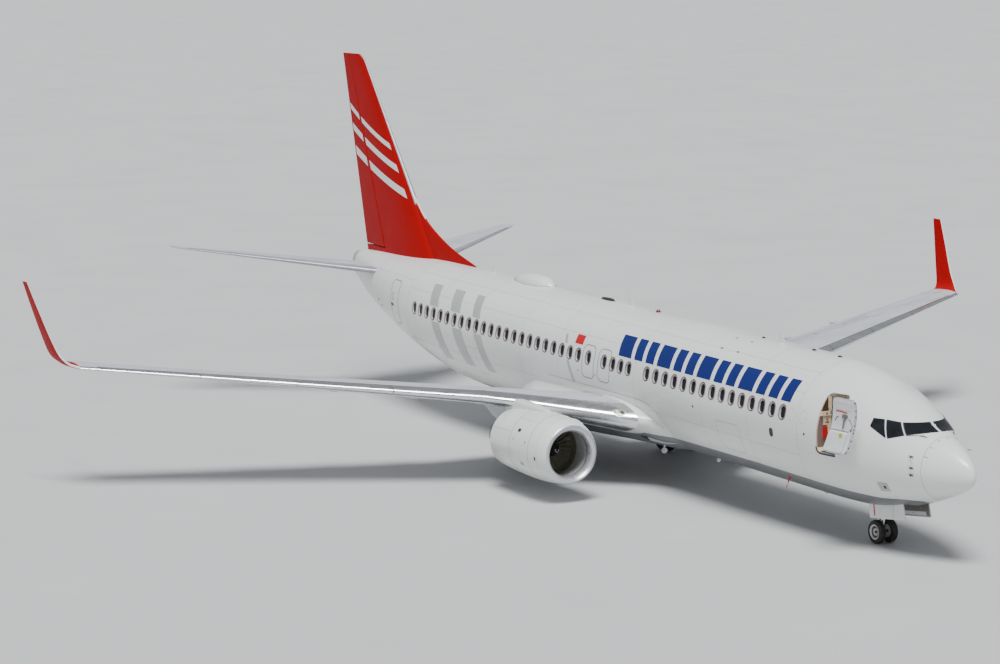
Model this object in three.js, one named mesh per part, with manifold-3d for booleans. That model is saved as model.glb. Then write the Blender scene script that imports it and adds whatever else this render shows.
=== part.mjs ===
// A twin-jet narrow-body airliner, parked on its wheels with the right front service door open.
// Millimetres. +X points at the nose, +Y at the left wing tip, +Z up. The origin is on the ground,
// midway between the nose tip and the tailplane tips. Places along the body are given as stations,
// the distance aft of the nose tip.
import * as THREE from "three";
import { mergeVertices } from "three/addons/utils/BufferGeometryUtils.js";
import Module from "manifold-3d";

const wasm = await Module();
wasm.setup();

// Driving dimensions
const LENGTH = 39470;
const BODY_LENGTH = 38020;
const CABIN_RADIUS = 1880;
const BELLY_DEPTH = 2130;
const AXIS_HEIGHT = 3120;
const NOSE_DOWN_SLOPE = 0.0151;
const NOSE_TIP = 1;
const FIN_TOP = 12595;
const WING_TIP_Y = 17000;
const WING_TIP_Z = 3910;
const WING_TIP_RISE = 45;
const ENGINE_Y = 4837;
const ENGINE_Z = 1526;
const MAIN_GEAR_STATION = 19750;
const MAIN_GEAR_Y = 2860;
const NOSE_GEAR_STATION = 4150;
const SEAT_GAP = 0.5;
const PIN_GAP = 0.3;
const HINGE_PIN_RADIUS = 15;
const BODY_SIDES = 32;
const WHEEL_SIDES = 24;
const NACELLE_SIDES = 32;

const COLOURS = {
  white: [0xe9ebea, 0.35, 0.0],
  lightGrey: [0xb9bec2, 0.4, 0.1],
  red: [0xb5121b, 0.35, 0.0],
  metal: [0xc4c7ca, 0.22, 1.0],
  darkMetal: [0x54575a, 0.4, 0.9],
  fanMetal: [0x2b2d30, 0.35, 0.8],
  glass: [0x11161b, 0.08, 0.0],
  rubber: [0x161616, 0.85, 0.0],
  gearWhite: [0xd5d7d8, 0.4, 0.2],
};

// Body sections: station, half width, then top, bottom and widest level over the cabin axis.
const BODY = rows(["s", "half", "top", "bottom", "mid"], [
  [0, 0, -560, -560, -560],
  [40, 110, -390, -730, -560],
  [150, 215, -230, -870, -555],
  [500, 440, 30, -1075, -545],
  [1000, 710, 275, -1290, -525],
  [1450, 920, 450, -1455, -500],
  [1750, 1040, 565, -1560, -480],
  [2200, 1205, 845, -1700, -430],
  [2800, 1395, 1150, -1860, -350],
  [3500, 1570, 1400, -1995, -250],
  [4500, 1735, 1680, -2095, -130],
  [6000, 1860, 1870, -BELLY_DEPTH, -10],
  [7000, CABIN_RADIUS, CABIN_RADIUS, -BELLY_DEPTH, 0],
  [24500, CABIN_RADIUS, CABIN_RADIUS, -BELLY_DEPTH, 0],
  [26000, CABIN_RADIUS, CABIN_RADIUS, -BELLY_DEPTH, 10],
  [28000, 1855, CABIN_RADIUS, -2050, 60],
  [30000, 1750, CABIN_RADIUS, -1760, 200],
  [32000, 1530, 1830, -1340, 400],
  [34000, 1220, 1750, -840, 620],
  [36000, 810, 1650, -240, 850],
  [37400, 440, 1530, 300, 1000],
  [BODY_LENGTH, 240, 1420, 560, 1020],
]);
const RADOME_SEAM = 1280;
const BODY_RUNS = [
  { name: "radome", stations: [0, 12, 40, 110, 240, 450, 750, 1020, RADOME_SEAM], colour: "white" },
  {
    name: "fuselage_nose",
    stations: [RADOME_SEAM, 1750, 2200, 2800, 3500, 4200, 5000, 5840],
    colour: "white",
  },
  { name: "fuselage_forward", stations: [5840, 7000, 14780], colour: "white" },
  { name: "fuselage_centre", stations: [14780, 19530], colour: "white" },
  { name: "fuselage_aft", stations: [19530, 24500, 26000, 27000, 28000, 29400, 30700], colour: "white" },
  { name: "tail_cone", stations: [30700, 32400, 34100, 35800, 37400], colour: "white" },
  { name: "apu_exhaust", stations: [37400, 37750, BODY_LENGTH], colour: "lightGrey" },
];

// Wing to body fairing sections: station, half width, lowest level, level of the shoulder, and the
// power of the sine and cosine in the outline, which is 1 for an ellipse and less for a squarer form.
const FAIRING = rows(["s", "half", "bottom", "shoulder", "power"], [
  [12300, 450, 1500, 1750, 1],
  [13000, 1140, 1290, 1950, 1],
  [14200, 1750, 1160, 2060, 1.05],
  [16000, 1940, 1130, 2070, 0.98],
  [18500, 2010, 1080, 2050, 0.75],
  [21000, 2020, 1080, 2000, 0.68],
  [22300, 1700, 1130, 1900, 0.68],
  [23500, 1000, 1270, 1750, 0.68],
]);

// Wing sections: span position, stations of the leading and trailing edges, their heights, and the
// thickness ratio.
const SURFACE_COLUMNS = ["v", "leS", "teS", "leZ", "teZ", "thickness"];
const WING = rows(SURFACE_COLUMNS, [
  [1300, 13650, 21080, 2050, 1970, 0.15],
  [1950, 14250, 21090, 2170, 2040, 0.15],
  [4900, 16700, 21140, 2690, 2480, 0.132],
  [5800, 17215, 21150, 2830, 2610, 0.128],
  [WING_TIP_Y, 23000, 24500, WING_TIP_Z, WING_TIP_Z + WING_TIP_RISE, 0.1],
]);
const TAILPLANE = rows(SURFACE_COLUMNS, [
  [350, 33925, 37577, 4668, 4791, 0.1],
  [6900, 38510, 39380, 5548, 5568, 0.09],
  [7190, 38810, LENGTH, 5587, 5602, 0.07],
]);
// Fin sections lie level: span position is the height, and the edges' heights are that height too.
const FIN = rows(SURFACE_COLUMNS, [
  [5050, 31140, 37090, 5050, 5050, 0.11],
  [FIN_TOP, 37380, 39080, FIN_TOP, FIN_TOP, 0.085],
]);
// Dorsal fin: station, height of its edge, half thickness at its foot.
const DORSAL = rows(["s", "edge", "half"], [
  [28540, 5470, 30],
  [30240, 5900, 75],
  [31610, 6420, 110],
  [32380, 6830, 130],
  [33080, 7400, 150],
  [33600, 7830, 150],
]);
// Winglet sections: distance out, height, stations of the edges, tilt of the section, thickness ratio.
const WINGLET = rows(["y", "z", "leS", "teS", "tilt", "thickness"], [
  [WING_TIP_Y + SEAT_GAP, WING_TIP_Z, 23000, 24500, 0, 0.1],
  [17200, 3985, 23330, 24640, 30, 0.095],
  [17370, 4200, 23680, 24790, 56, 0.09],
  [17470, 4560, 24020, 24960, 70, 0.085],
  [17700, 5600, 24700, 25380, 77, 0.08],
  [17865, 6430, 25230, 25690, 80, 0.075],
]);

// Panels of the wing that are pieces of their own: name, span from and to, chord fraction from and to.
const WING_PANELS = rows(["name", "from", "to", "ahead", "behind", "colour"], [
  ["slat", 5900, 16500, -0.05, 0.1, "metal"],
  ["flap_inboard", 2350, 5600, 0.74, 1.1, "lightGrey"],
  ["flap_outboard", 5680, 12400, 0.72, 1.1, "lightGrey"],
]);
// Hinged surfaces: span from and to, and the hinge's chord fraction.
const AILERON = { from: 12700, to: 16300, hinge: 0.76, endGap: 30 };
const ELEVATOR = { from: 900, to: 6900, hinge: 0.7, endGap: 35 };
const RUDDER = { from: 5470, to: FIN_TOP, hinge: 0.68, endGap: 40 };
// Flap track fairings: span position and half width.
const TRACK_FAIRINGS = rows(["y", "half"], [[6700, 190], [9100, 170], [11500, 150]]);

// Antenna dome on the crown: station and share of its full half width and height.
const DOME_HALF = 430;
const DOME_HEIGHT = 370;
const DOME = rows(["s", "size"], [
  [23000, 0.04], [23200, 0.5], [23600, 0.88], [24200, 1], [24900, 0.85], [25400, 0.45], [25650, 0.04],
]);

// Nacelle stations, from the lip aft.
const LIP_STATION = 13500;
const FAN_CASE_STATION = 14420;
const SLEEVE_STATION = 15600;
const SLEEVE_END = 17000;
const FLAT_BOTTOM = 0.95;
const HIGH_TOP = 1.05;

const WHEELS = {
  nose: { radius: 343, width: 200, rim: 190, spacing: 420, axleRadius: 38, bulge: 45 },
  main: { radius: 565, width: 420, rim: 280, spacing: 860, axleRadius: 75, bulge: 90 },
};

// Front right service doorway, and the leaf of its door, which stands open forward of it with its
// outer skin turned to the body. The leaf leans outboard at its foot and bulges towards the body. Its
// place is that of the middle of its outer skin.
const DOORWAY = { aft: 4940, fore: 4160, sill: 2700, height: 1650, corner: 150, depth: 1100 };
const DOOR = {
  station: 3401, y: -1880, z: 3680, width: 780, height: 1542, corner: 150, thickness: 110,
  lean: 264, bulge: 142, swing: THREE.MathUtils.degToRad(15), tilt: THREE.MathUtils.degToRad(3),
};
// Each arm runs out along the doorway's forward side to an elbow, and from there to the leaf.
const DOOR_ARM = { station: 4170, radius: 35, knuckle: 50, knuckleHalf: 65, hinge: 0.16 };
const DOOR_ARMS = rows(["z", "wallY", "elbowY", "up"], [
  [3150, -1500, -1850, 0.15],
  [3950, -1300, -1790, 0.67],
]);
const STEERING_LEVEL = 1010;
const NOSE_BAY = { fore: 2450, aft: 4400, half: 400, roof: 2250 };
const WHEEL_WELL = { y: 950, radius: 640, roof: 1900 };

function rows(columns, table) {
  return table.map((row) => Object.fromEntries(row.map((value, i) => [columns[i], value])));
}

function stationX(s) {
  return LENGTH / 2 - s;
}

function axisHeight(s) {
  return AXIS_HEIGHT + NOSE_DOWN_SLOPE * s;
}

function lerp(a, b, t) {
  return a + (b - a) * t;
}

// A row between two rows of a table, straight between its neighbours.
function between(table, key, value) {
  let i = 1;
  while (i < table.length - 1 && table[i][key] < value) i += 1;
  const [a, b] = [table[i - 1], table[i]];
  const t = (value - a[key]) / (b[key] - a[key]);
  return Object.fromEntries(Object.keys(a).map((column) => [column, lerp(a[column], b[column], t)]));
}

// A smooth curve through one column of the body table. It runs along the square root of the station,
// which keeps the nose tip round, and never swings past its rows.
function bodyValue(column, s) {
  const u = Math.sqrt(s);
  const places = BODY.map((row) => Math.sqrt(row.s));
  const values = BODY.map((row) => row[column]);
  let i = 1;
  while (i < BODY.length - 1 && places[i] < u) i += 1;
  const step = places[i] - places[i - 1];
  const t = (u - places[i - 1]) / step;
  const [m0, m1] = [i - 1, i].map((k) => slopeAt(places, values, k) * step);
  const [t2, t3] = [t * t, t * t * t];
  return (2 * t3 - 3 * t2 + 1) * values[i - 1] + (t3 - 2 * t2 + t) * m0
    + (3 * t2 - 2 * t3) * values[i] + (t3 - t2) * m1;
}

function slopeAt(places, values, k) {
  const slope = (i) => (values[i + 1] - values[i]) / (places[i + 1] - places[i]);
  if (k === 0) return slope(0);
  if (k === values.length - 1) return slope(k - 1);
  const [before, after] = [slope(k - 1), slope(k)];
  return before * after <= 0 ? 0 : (2 * before * after) / (before + after);
}

function geometryOf(points, faces) {
  const geometry = new THREE.BufferGeometry();
  geometry.setAttribute("position", new THREE.Float32BufferAttribute(points.flat(), 3));
  geometry.setIndex(faces.flat());
  return geometry;
}

function volumeOf(points, faces) {
  return faces.reduce((sum, [a, b, c]) => {
    const [p, q, r] = [points[a], points[b], points[c]];
    return sum + p[0] * (q[1] * r[2] - q[2] * r[1]) - p[1] * (q[0] * r[2] - q[2] * r[0])
      + p[2] * (q[0] * r[1] - q[1] * r[0]);
  }, 0);
}

// A closed solid through rings with equal numbers of points. A fan cap meets at the ring's middle,
// and a strip cap joins the first half of the ring to the second, point by point.
function loft(rings, cap = "fan") {
  const count = rings[0].length;
  const points = rings.flat();
  const faces = [];
  for (let i = 0; i < rings.length - 1; i += 1) {
    for (let j = 0; j < count; j += 1) {
      const [a, b] = [i * count + j, i * count + ((j + 1) % count)];
      faces.push([a, b, b + count], [a, b + count, a + count]);
    }
  }
  const lastRing = (rings.length - 1) * count;
  if (cap === "fan") {
    const middle = (ring) => [0, 1, 2].map((axis) => ring.reduce((sum, p) => sum + p[axis], 0) / count);
    points.push(middle(rings[0]), middle(rings.at(-1)));
    for (let j = 0; j < count; j += 1) {
      const k = (j + 1) % count;
      faces.push([points.length - 2, k, j], [points.length - 1, lastRing + j, lastRing + k]);
    }
  } else {
    for (let j = 0; j < count / 2 - 1; j += 1) {
      const mirror = count - 1 - j;
      faces.push([j, mirror, mirror - 1], [j, mirror - 1, j + 1]);
      faces.push([lastRing + j, lastRing + mirror - 1, lastRing + mirror]);
      faces.push([lastRing + j, lastRing + j + 1, lastRing + mirror - 1]);
    }
  }
  const outward = volumeOf(points, faces) > 0;
  return solid(geometryOf(points, outward ? faces : faces.map(([a, b, c]) => [a, c, b])));
}

// A three.js geometry as a solid that can be joined and cut.
function solid(geometry) {
  const plain = geometry.clone();
  plain.deleteAttribute("normal");
  plain.deleteAttribute("uv");
  const merged = mergeVertices(plain, 0.001);
  const vertProperties = Float32Array.from(merged.getAttribute("position").array);
  const triVerts = dropSlivers(merged.getIndex().array);
  const made = new wasm.Manifold(new wasm.Mesh({ numProp: 3, vertProperties, triVerts }));
  if (made.volume() > 0) return made;
  return new wasm.Manifold(new wasm.Mesh({ numProp: 3, vertProperties, triVerts: triVerts.reverse() }));
}

function dropSlivers(index) {
  const kept = [];
  for (let i = 0; i < index.length; i += 3) {
    const [a, b, c] = index.slice(i, i + 3);
    if (a !== b && b !== c && c !== a) kept.push(a, b, c);
  }
  return Uint32Array.from(kept);
}

function placed(geometry, matrix) {
  return solid(geometry.clone().applyMatrix4(matrix));
}

function joined(solids) {
  return solids.reduce((sum, next) => sum.add(next));
}

// A box from its lowest and highest corners.
function box(low, high) {
  const size = high.map((value, i) => value - low[i]);
  const centre = high.map((value, i) => (value + low[i]) / 2);
  return placed(new THREE.BoxGeometry(...size), new THREE.Matrix4().makeTranslation(...centre));
}

// A round bar between two points.
function bar(from, to, radius, sides = 16, endRadius = radius) {
  const [a, b] = [new THREE.Vector3(...from), new THREE.Vector3(...to)];
  const along = b.clone().sub(a).normalize();
  const turn = new THREE.Quaternion().setFromUnitVectors(new THREE.Vector3(0, 1, 0), along);
  const geometry = new THREE.CylinderGeometry(endRadius, radius, a.distanceTo(b), sides);
  const centre = a.clone().add(b).multiplyScalar(0.5);
  return placed(geometry, new THREE.Matrix4().compose(centre, turn, new THREE.Vector3(1, 1, 1)));
}

// A solid of revolution about a line along Y, from radius and distance pairs. One of its flats faces
// down.
function spunAboutY(profile, sides, centre) {
  const points = profile.map(([radius, along]) => new THREE.Vector2(radius, along));
  const geometry = new THREE.LatheGeometry(points, sides);
  geometry.rotateY(Math.PI / sides);
  return placed(geometry, new THREE.Matrix4().makeTranslation(...centre));
}

// A solid of revolution about the engine's line, from station and radius pairs.
function spunAboutX(profile, sides, y, topScale = 1, bottomScale = 1) {
  const points = profile.map(([s, radius]) => new THREE.Vector2(radius, stationX(s)));
  const geometry = new THREE.LatheGeometry(points, sides);
  geometry.rotateZ(-Math.PI / 2);
  const position = geometry.getAttribute("position");
  for (let i = 0; i < position.count; i += 1) {
    const radius = Math.hypot(position.getY(i), position.getZ(i));
    const share = THREE.MathUtils.clamp((radius - 800) / 200, 0, 1);
    const scale = position.getZ(i) < 0 ? bottomScale : topScale;
    position.setZ(i, position.getZ(i) * lerp(1, scale, share));
  }
  return placed(geometry, new THREE.Matrix4().makeTranslation(0, y, ENGINE_Z));
}

function bodyRing(s, grow) {
  const [half, top, bottom, mid] = ["half", "top", "bottom", "mid"].map((column) => bodyValue(column, s));
  return Array.from({ length: BODY_SIDES }, (_, k) => {
    const angle = (2 * Math.PI * k) / BODY_SIDES;
    const [sine, cosine] = [Math.sin(angle), Math.cos(angle)];
    const rise = cosine > 0 ? top - mid + grow : mid - bottom + grow;
    return [stationX(s), (half + grow) * sine, axisHeight(s) + mid + rise * cosine];
  });
}

function bodySection(stations, grow = 0) {
  const start = stations[0] === 0 ? [NOSE_TIP, ...stations.slice(1)] : stations;
  const whole = grow > 0 || start.at(-1) === BODY_LENGTH;
  const end = whole ? start.at(-1) : start.at(-1) - SEAT_GAP;
  return loft([...start.slice(0, -1), end].map((s) => bodyRing(s, grow)));
}

function wholeBody(grow) {
  const stations = BODY_RUNS.flatMap((run, i) => run.stations.slice(i === 0 ? 0 : 1));
  return bodySection(stations, grow);
}

function halfThickness(along) {
  const x = Math.min(Math.max(along, 0), 1);
  return 5 * (0.2969 * Math.sqrt(x) - 0.126 * x - 0.3516 * x ** 2 + 0.2843 * x ** 3 - 0.1015 * x ** 4);
}

// A section of the wing, tailplane or fin: its edges, which way is up for it, and its camber.
function surfaceSection(kind, v) {
  const row = between(kind.table, "v", v);
  const middle = kind.upright ? 0 : v * kind.side;
  return {
    edge: [stationX(row.leS), middle, row.leZ],
    rear: [stationX(row.teS), middle, row.teZ],
    up: kind.upright ? [0, 1, 0] : [0, 0, 1],
    thickness: row.thickness,
    camber: kind.camber,
  };
}

function chordOf(section) {
  return Math.hypot(...section.rear.map((value, i) => value - section.edge[i]));
}

// A point of a section: fraction of the chord, and height over the camber line in millimetres.
function sectionPoint(section, along, height) {
  const camber = section.camber * 4 * along * (1 - along) * chordOf(section);
  const lift = camber + height;
  return section.edge.map((value, i) => lerp(value, section.rear[i], along) + section.up[i] * lift);
}

function skinHeight(section, along) {
  return halfThickness(along) * section.thickness * chordOf(section);
}

const CHORD_STEPS = [0, 0.008, 0.035, 0.1, 0.22, 0.4, 0.62, 0.82, 1];

function airfoilRing(section, grow = 0) {
  const margin = grow / chordOf(section);
  const upper = CHORD_STEPS.slice(1).map((x) => sectionPoint(section, x, skinHeight(section, x) + grow));
  const lower = CHORD_STEPS.slice(1).map((x) => sectionPoint(section, x, -skinHeight(section, x) - grow));
  const edge = sectionPoint(section, -margin, 0);
  const nose = sectionPoint(section, 0.0015 - margin, -skinHeight(section, 0.0015) - grow);
  return [edge, ...upper, ...lower.reverse(), nose];
}

function liftingSurface(kind, spans, grow = 0) {
  return loft(spans.map((v) => airfoilRing(surfaceSection(kind, v), grow)), "strip");
}

// A block that holds all of a surface between two chord fractions and two span positions.
function surfaceBlock(kind, from, to, ahead, behind, grow = 0) {
  const reach = 900;
  return loft([from - grow, to + grow].map((v) => {
    const section = surfaceSection(kind, v);
    const margin = grow / chordOf(section);
    const [start, end] = [ahead - margin, behind + margin];
    return [[start, reach], [end, reach], [end, -reach], [start, -reach]]
      .map(([along, height]) => sectionPoint({ ...section, camber: 0 }, along, height));
  }));
}

// The hinge line of a control surface, and its radius there.
function hingePoint(kind, panel, v) {
  const section = surfaceSection(kind, v);
  return { section, radius: skinHeight(section, panel.hinge) - 2 };
}

function arcPoints(section, hinge, radius, reach, steps) {
  const chord = chordOf(section);
  return Array.from({ length: steps + 1 }, (_, k) => {
    const angle = lerp(-reach, reach, k / steps);
    const along = hinge - (radius * Math.cos(angle)) / chord;
    const lift = sectionPoint(section, hinge, 0).map((value, i) => value
      + (along - hinge) * (section.rear[i] - section.edge[i]) + section.up[i] * radius * Math.sin(angle));
    return lift;
  });
}

// A pin on the hinge line, from inside the surface's end to just short of the bay's end wall.
function hingePin(kind, panel, wall, inward) {
  const [a, b] = [0, 1].map((step) => {
    const v = wall + inward * step * (panel.endGap + 2 * HINGE_PIN_RADIUS);
    return new THREE.Vector3(...sectionPoint(surfaceSection(kind, v), panel.hinge, 0));
  });
  const line = b.clone().sub(a).normalize();
  const square = Math.abs(kind.upright ? line.z : line.y);
  const clear = (PIN_GAP + HINGE_PIN_RADIUS * Math.sqrt(1 - square ** 2)) / square;
  return bar(a.addScaledVector(line, clear).toArray(), b.toArray(), HINGE_PIN_RADIUS, 12);
}

// The moving surface: round in front of its hinge, then the skins to the trailing edge.
function hingedSurface(kind, panel) {
  const steps = [0.06, 0.35, 0.7, 1];
  const ring = (v) => {
    const { section, radius } = hingePoint(kind, panel, v);
    const alongs = steps.map((t) => lerp(panel.hinge, 1, t));
    const nose = arcPoints(section, panel.hinge, radius, Math.PI / 2, 7);
    const upper = alongs.map((x) => sectionPoint(section, x, skinHeight(section, x)));
    const lower = alongs.map((x) => sectionPoint(section, x, -skinHeight(section, x)));
    return [...nose.slice(4), ...upper, ...lower.reverse(), ...nose.slice(0, 4)];
  };
  const last = panel.openEnd ? panel.to : panel.to - panel.endGap;
  const surface = loft([panel.from + panel.endGap, last].map(ring), "strip");
  const pins = [hingePin(kind, panel, panel.from, 1)];
  if (!panel.openEnd) pins.push(hingePin(kind, panel, panel.to, -1));
  return joined([surface, ...pins]);
}

// The bay that a hinged surface turns in: a hollow round its nose, open above, below and behind.
function hingeBay(kind, panel) {
  const reach = THREE.MathUtils.degToRad(75);
  const high = 700;
  const ring = (v) => {
    const { section, radius } = hingePoint(kind, panel, v);
    const bay = radius * 1.12 + 8;
    const nose = arcPoints(section, panel.hinge, bay, reach, 5);
    const lip = panel.hinge - (bay * Math.cos(reach)) / chordOf(section);
    const flat = { ...section, camber: 0 };
    return [...nose.slice(3), sectionPoint(flat, lip, high), sectionPoint(flat, 1.3, high),
      sectionPoint(flat, 1.3, -high), sectionPoint(flat, lip, -high), ...nose.slice(0, 3)];
  };
  const end = panel.openEnd ? panel.to + 300 : panel.to;
  return loft([panel.from, end].map(ring), "strip");
}

const left = { table: WING, side: 1, camber: 0.012 };
const right = { table: WING, side: -1, camber: 0.012 };
const tailLeft = { table: TAILPLANE, side: 1, camber: 0 };
const tailRight = { table: TAILPLANE, side: -1, camber: 0 };
const finKind = { table: FIN, side: 1, camber: 0, upright: true };
const rudderPanel = { ...RUDDER, openEnd: true };

const airframe = new THREE.Group();

function addPiece(name, shape, colour, parent = airframe) {
  const mesh = shape.getMesh();
  const geometry = new THREE.BufferGeometry();
  geometry.setAttribute("position", new THREE.BufferAttribute(Float32Array.from(mesh.vertProperties), 3));
  geometry.setIndex(new THREE.BufferAttribute(Uint32Array.from(mesh.triVerts), 1));
  geometry.computeVertexNormals();
  const [color, roughness, metalness] = COLOURS[colour];
  const piece = new THREE.Mesh(geometry, new THREE.MeshStandardMaterial({ color, roughness, metalness }));
  piece.name = name;
  parent.add(piece);
}

function fairingRing(row, grow) {
  const steps = 6;
  const outline = Array.from({ length: steps + 1 }, (_, k) => {
    const angle = (Math.PI / 2) * (k / steps);
    return [(row.half + grow) * Math.cos(angle) ** row.power,
      row.shoulder - (row.shoulder - row.bottom + grow) * Math.sin(angle) ** row.power];
  });
  const top = row.shoulder + 550;
  const side = [[row.half * 0.86 + grow, top], ...outline];
  const mirrored = side.slice(0, -1).reverse().map(([y, z]) => [-y, z]);
  return [...side, ...mirrored].map(([y, z]) => [stationX(row.s), y, z]);
}

function fairing(grow) {
  return loft(FAIRING.map((row) => fairingRing(row, grow)));
}

const body = wholeBody(0);
const grownBody = wholeBody(SEAT_GAP);
const wingSpans = WING.map((row) => row.v);

function wheelWell(side) {
  const x = stationX(MAIN_GEAR_STATION);
  const y = side * WHEEL_WELL.y;
  const well = bar([x, y, 800], [x, y, WHEEL_WELL.roof], WHEEL_WELL.radius, 24);
  const slot = box([x - 170, Math.min(side * 1300, side * 3100), 800],
    [x + 170, Math.max(side * 1300, side * 3100), WHEEL_WELL.roof + 150]);
  return well.add(slot);
}

function buildFuselage() {
  const noseBay = box(
    [stationX(NOSE_BAY.aft), -NOSE_BAY.half, 500],
    [stationX(NOSE_BAY.fore), NOSE_BAY.half, NOSE_BAY.roof],
  );
  for (const run of BODY_RUNS) {
    let shape = bodySection(run.stations);
    if (run.name === "fuselage_nose") {
      shape = shape.subtract(doorwayBlock()).subtract(noseBay).subtract(glazing(SEAT_GAP));
    }
    addPiece(run.name, shape, run.colour);
  }
  addPiece("cockpit_glazing", glazing(0), "glass");
}

// Cockpit glazing band, cut from the body's skin: its side outline as station and height over the axis.
const GLAZING_OUTLINE = [[1430, 415], [1900, 690], [3090, 705], [3110, 480], [2460, 228], [2020, 362]];
const GLAZING_CENTRE = [2300, 480];
const GLAZING_DEPTH = 60;

function glazing(grow) {
  const stretch = 1 + grow / 400;
  const ring = (y) => GLAZING_OUTLINE.map(([s, z]) => {
    const [gs, gz] = [lerp(GLAZING_CENTRE[0], s, stretch), lerp(GLAZING_CENTRE[1], z, stretch)];
    return [stationX(gs), y, axisHeight(gs) + gz];
  });
  const block = loft([ring(-2200), ring(2200)]);
  const outer = grow > 0 ? block : block.intersect(body);
  return outer.subtract(wholeBody(-GLAZING_DEPTH - grow));
}

function buildWing(kind, label) {
  const spare = wholeBody(SEAT_GAP).add(fairing(SEAT_GAP));
  const skin = liftingSurface(kind, wingSpans);
  const tracks = TRACK_FAIRINGS.map((track) => trackFairing(kind, track, 0));
  const grownTracks = joined(TRACK_FAIRINGS.map((track) => trackFairing(kind, track, SEAT_GAP)));
  let wing = skin;
  for (const panel of WING_PANELS) {
    const cut = surfaceBlock(kind, panel.from, panel.to, panel.ahead, panel.behind, SEAT_GAP);
    const own = surfaceBlock(kind, panel.from, panel.to, panel.ahead, panel.behind);
    wing = wing.subtract(cut);
    const piece = skin.intersect(own).subtract(grownTracks).subtract(spare);
    addPiece(`${panel.name}_${label}`, piece, panel.colour);
  }
  wing = joined([wing.subtract(hingeBay(kind, AILERON)), ...tracks]).subtract(spare);
  addPiece(`wing_${label}`, wing, "lightGrey");
  addPiece(`aileron_${label}`, hingedSurface(kind, AILERON), "lightGrey");
  addPiece(`winglet_${label}`, winglet(kind), "red");
}

// A flap track fairing hangs under the wing and ends behind the trailing edge.
function trackFairing(kind, track, grow) {
  const section = surfaceSection(kind, track.y);
  const stations = [[0.5, 0.05], [0.58, 0.6], [0.75, 1], [0.95, 0.8], [1.17, 0.04]];
  return loft(stations.map(([along, size]) => {
    const under = -skinHeight(section, Math.min(along, 1)) * 0.4;
    const deep = (track.half * 1.7 + grow) * size;
    return Array.from({ length: 8 }, (_, k) => {
      const angle = (2 * Math.PI * k) / 8;
      const [x, , z] = sectionPoint(section, along, under - deep * 0.35 + deep * 0.65 * Math.cos(angle));
      return [x, kind.side * track.y + (track.half * size + grow) * Math.sin(angle), z];
    });
  }));
}

function winglet(kind) {
  return loft(WINGLET.map((row) => {
    const tilt = THREE.MathUtils.degToRad(row.tilt);
    const rise = row.tilt === 0 ? WING_TIP_RISE : 0;
    return airfoilRing({
      edge: [stationX(row.leS), kind.side * row.y, row.z],
      rear: [stationX(row.teS), kind.side * row.y, row.z + rise],
      up: [0, -kind.side * Math.sin(tilt), Math.cos(tilt)],
      thickness: row.thickness,
      camber: row.tilt === 0 ? kind.camber : 0,
    });
  }), "strip");
}

function buildTail() {
  for (const [kind, label] of [[tailLeft, "left"], [tailRight, "right"]]) {
    const skin = liftingSurface(kind, TAILPLANE.map((row) => row.v));
    const stabiliser = skin.subtract(hingeBay(kind, ELEVATOR)).subtract(grownBody);
    addPiece(`stabiliser_${label}`, stabiliser, "lightGrey");
    addPiece(`elevator_${label}`, hingedSurface(kind, ELEVATOR), "lightGrey");
  }
  const skin = liftingSurface(finKind, FIN.map((row) => row.v));
  const fin = skin.add(dorsalFin()).subtract(hingeBay(finKind, rudderPanel)).subtract(grownBody);
  addPiece("fin", fin, "red");
  addPiece("rudder", hingedSurface(finKind, rudderPanel), "red");
}

function dorsalFin() {
  return loft(DORSAL.map((row) => {
    const foot = 5000;
    const profile = [[1, foot], [0.85, lerp(foot, row.edge, 0.6)], [0.3, row.edge - 25], [0, row.edge]];
    const rightSide = profile.slice(0, -1).reverse().map(([share, z]) => [-share, z]);
    return [...profile, ...rightSide].map(([share, z]) => [stationX(row.s), share * row.half, z]);
  }));
}

// The nacelle's cowls, as closed outlines of station and radius.
const COWLS = {
  engine_inlet: [
    [LIP_STATION, 815], [13515, 865], [13580, 915], [13720, 965], [13950, 1010], [FAN_CASE_STATION, 1050],
    [FAN_CASE_STATION, 786], [14150, 775], [13950, 750], [13750, 737], [13600, 752], [13530, 780],
    [LIP_STATION, 815],
  ],
  fan_cowl: [
    [FAN_CASE_STATION + SEAT_GAP, 1050], [14900, 1062], [SLEEVE_STATION, 1040],
    [SLEEVE_STATION, 850], [15000, 800], [FAN_CASE_STATION + SEAT_GAP, 786],
    [FAN_CASE_STATION + SEAT_GAP, 1050],
  ],
  reverser_sleeve: [
    [SLEEVE_STATION + SEAT_GAP, 1040], [16300, 1005], [SLEEVE_END, 930], [SLEEVE_END, 915],
    [16300, 900], [SLEEVE_STATION + SEAT_GAP, 850], [SLEEVE_STATION + SEAT_GAP, 1040],
  ],
};
const CORE_FRONT = 15220;
const CORE_PROFILE = [
  [CORE_FRONT, 0], [CORE_FRONT, 400], [15400, 520], [16000, 600], [16900, 620], [17500, 540], [18000, 425],
  [18000, 395], [17800, 400], [17800, 330], [18000, 290], [18300, 150], [18520, 0],
];
// Pylon sections: station, half thickness, top and bottom over the engine's line.
const PYLON_RIDGE = 20;
const PYLON = rows(["s", "half", "top", "bottom"], [
  [14650, 30, 1075, 900],
  [15100, 130, 1180, 900],
  [15900, 190, 1230, 560],
  [17000, 200, 1260, 560],
  [18000, 170, 1200, 480],
  [18700, 120, 1120, 700],
  [19700, 30, 1080, 1010],
]);
const FAN = { blades: 24, tip: 768, hub: 230, front: 14720, rear: 15120, spinnerTip: 14330 };

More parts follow.
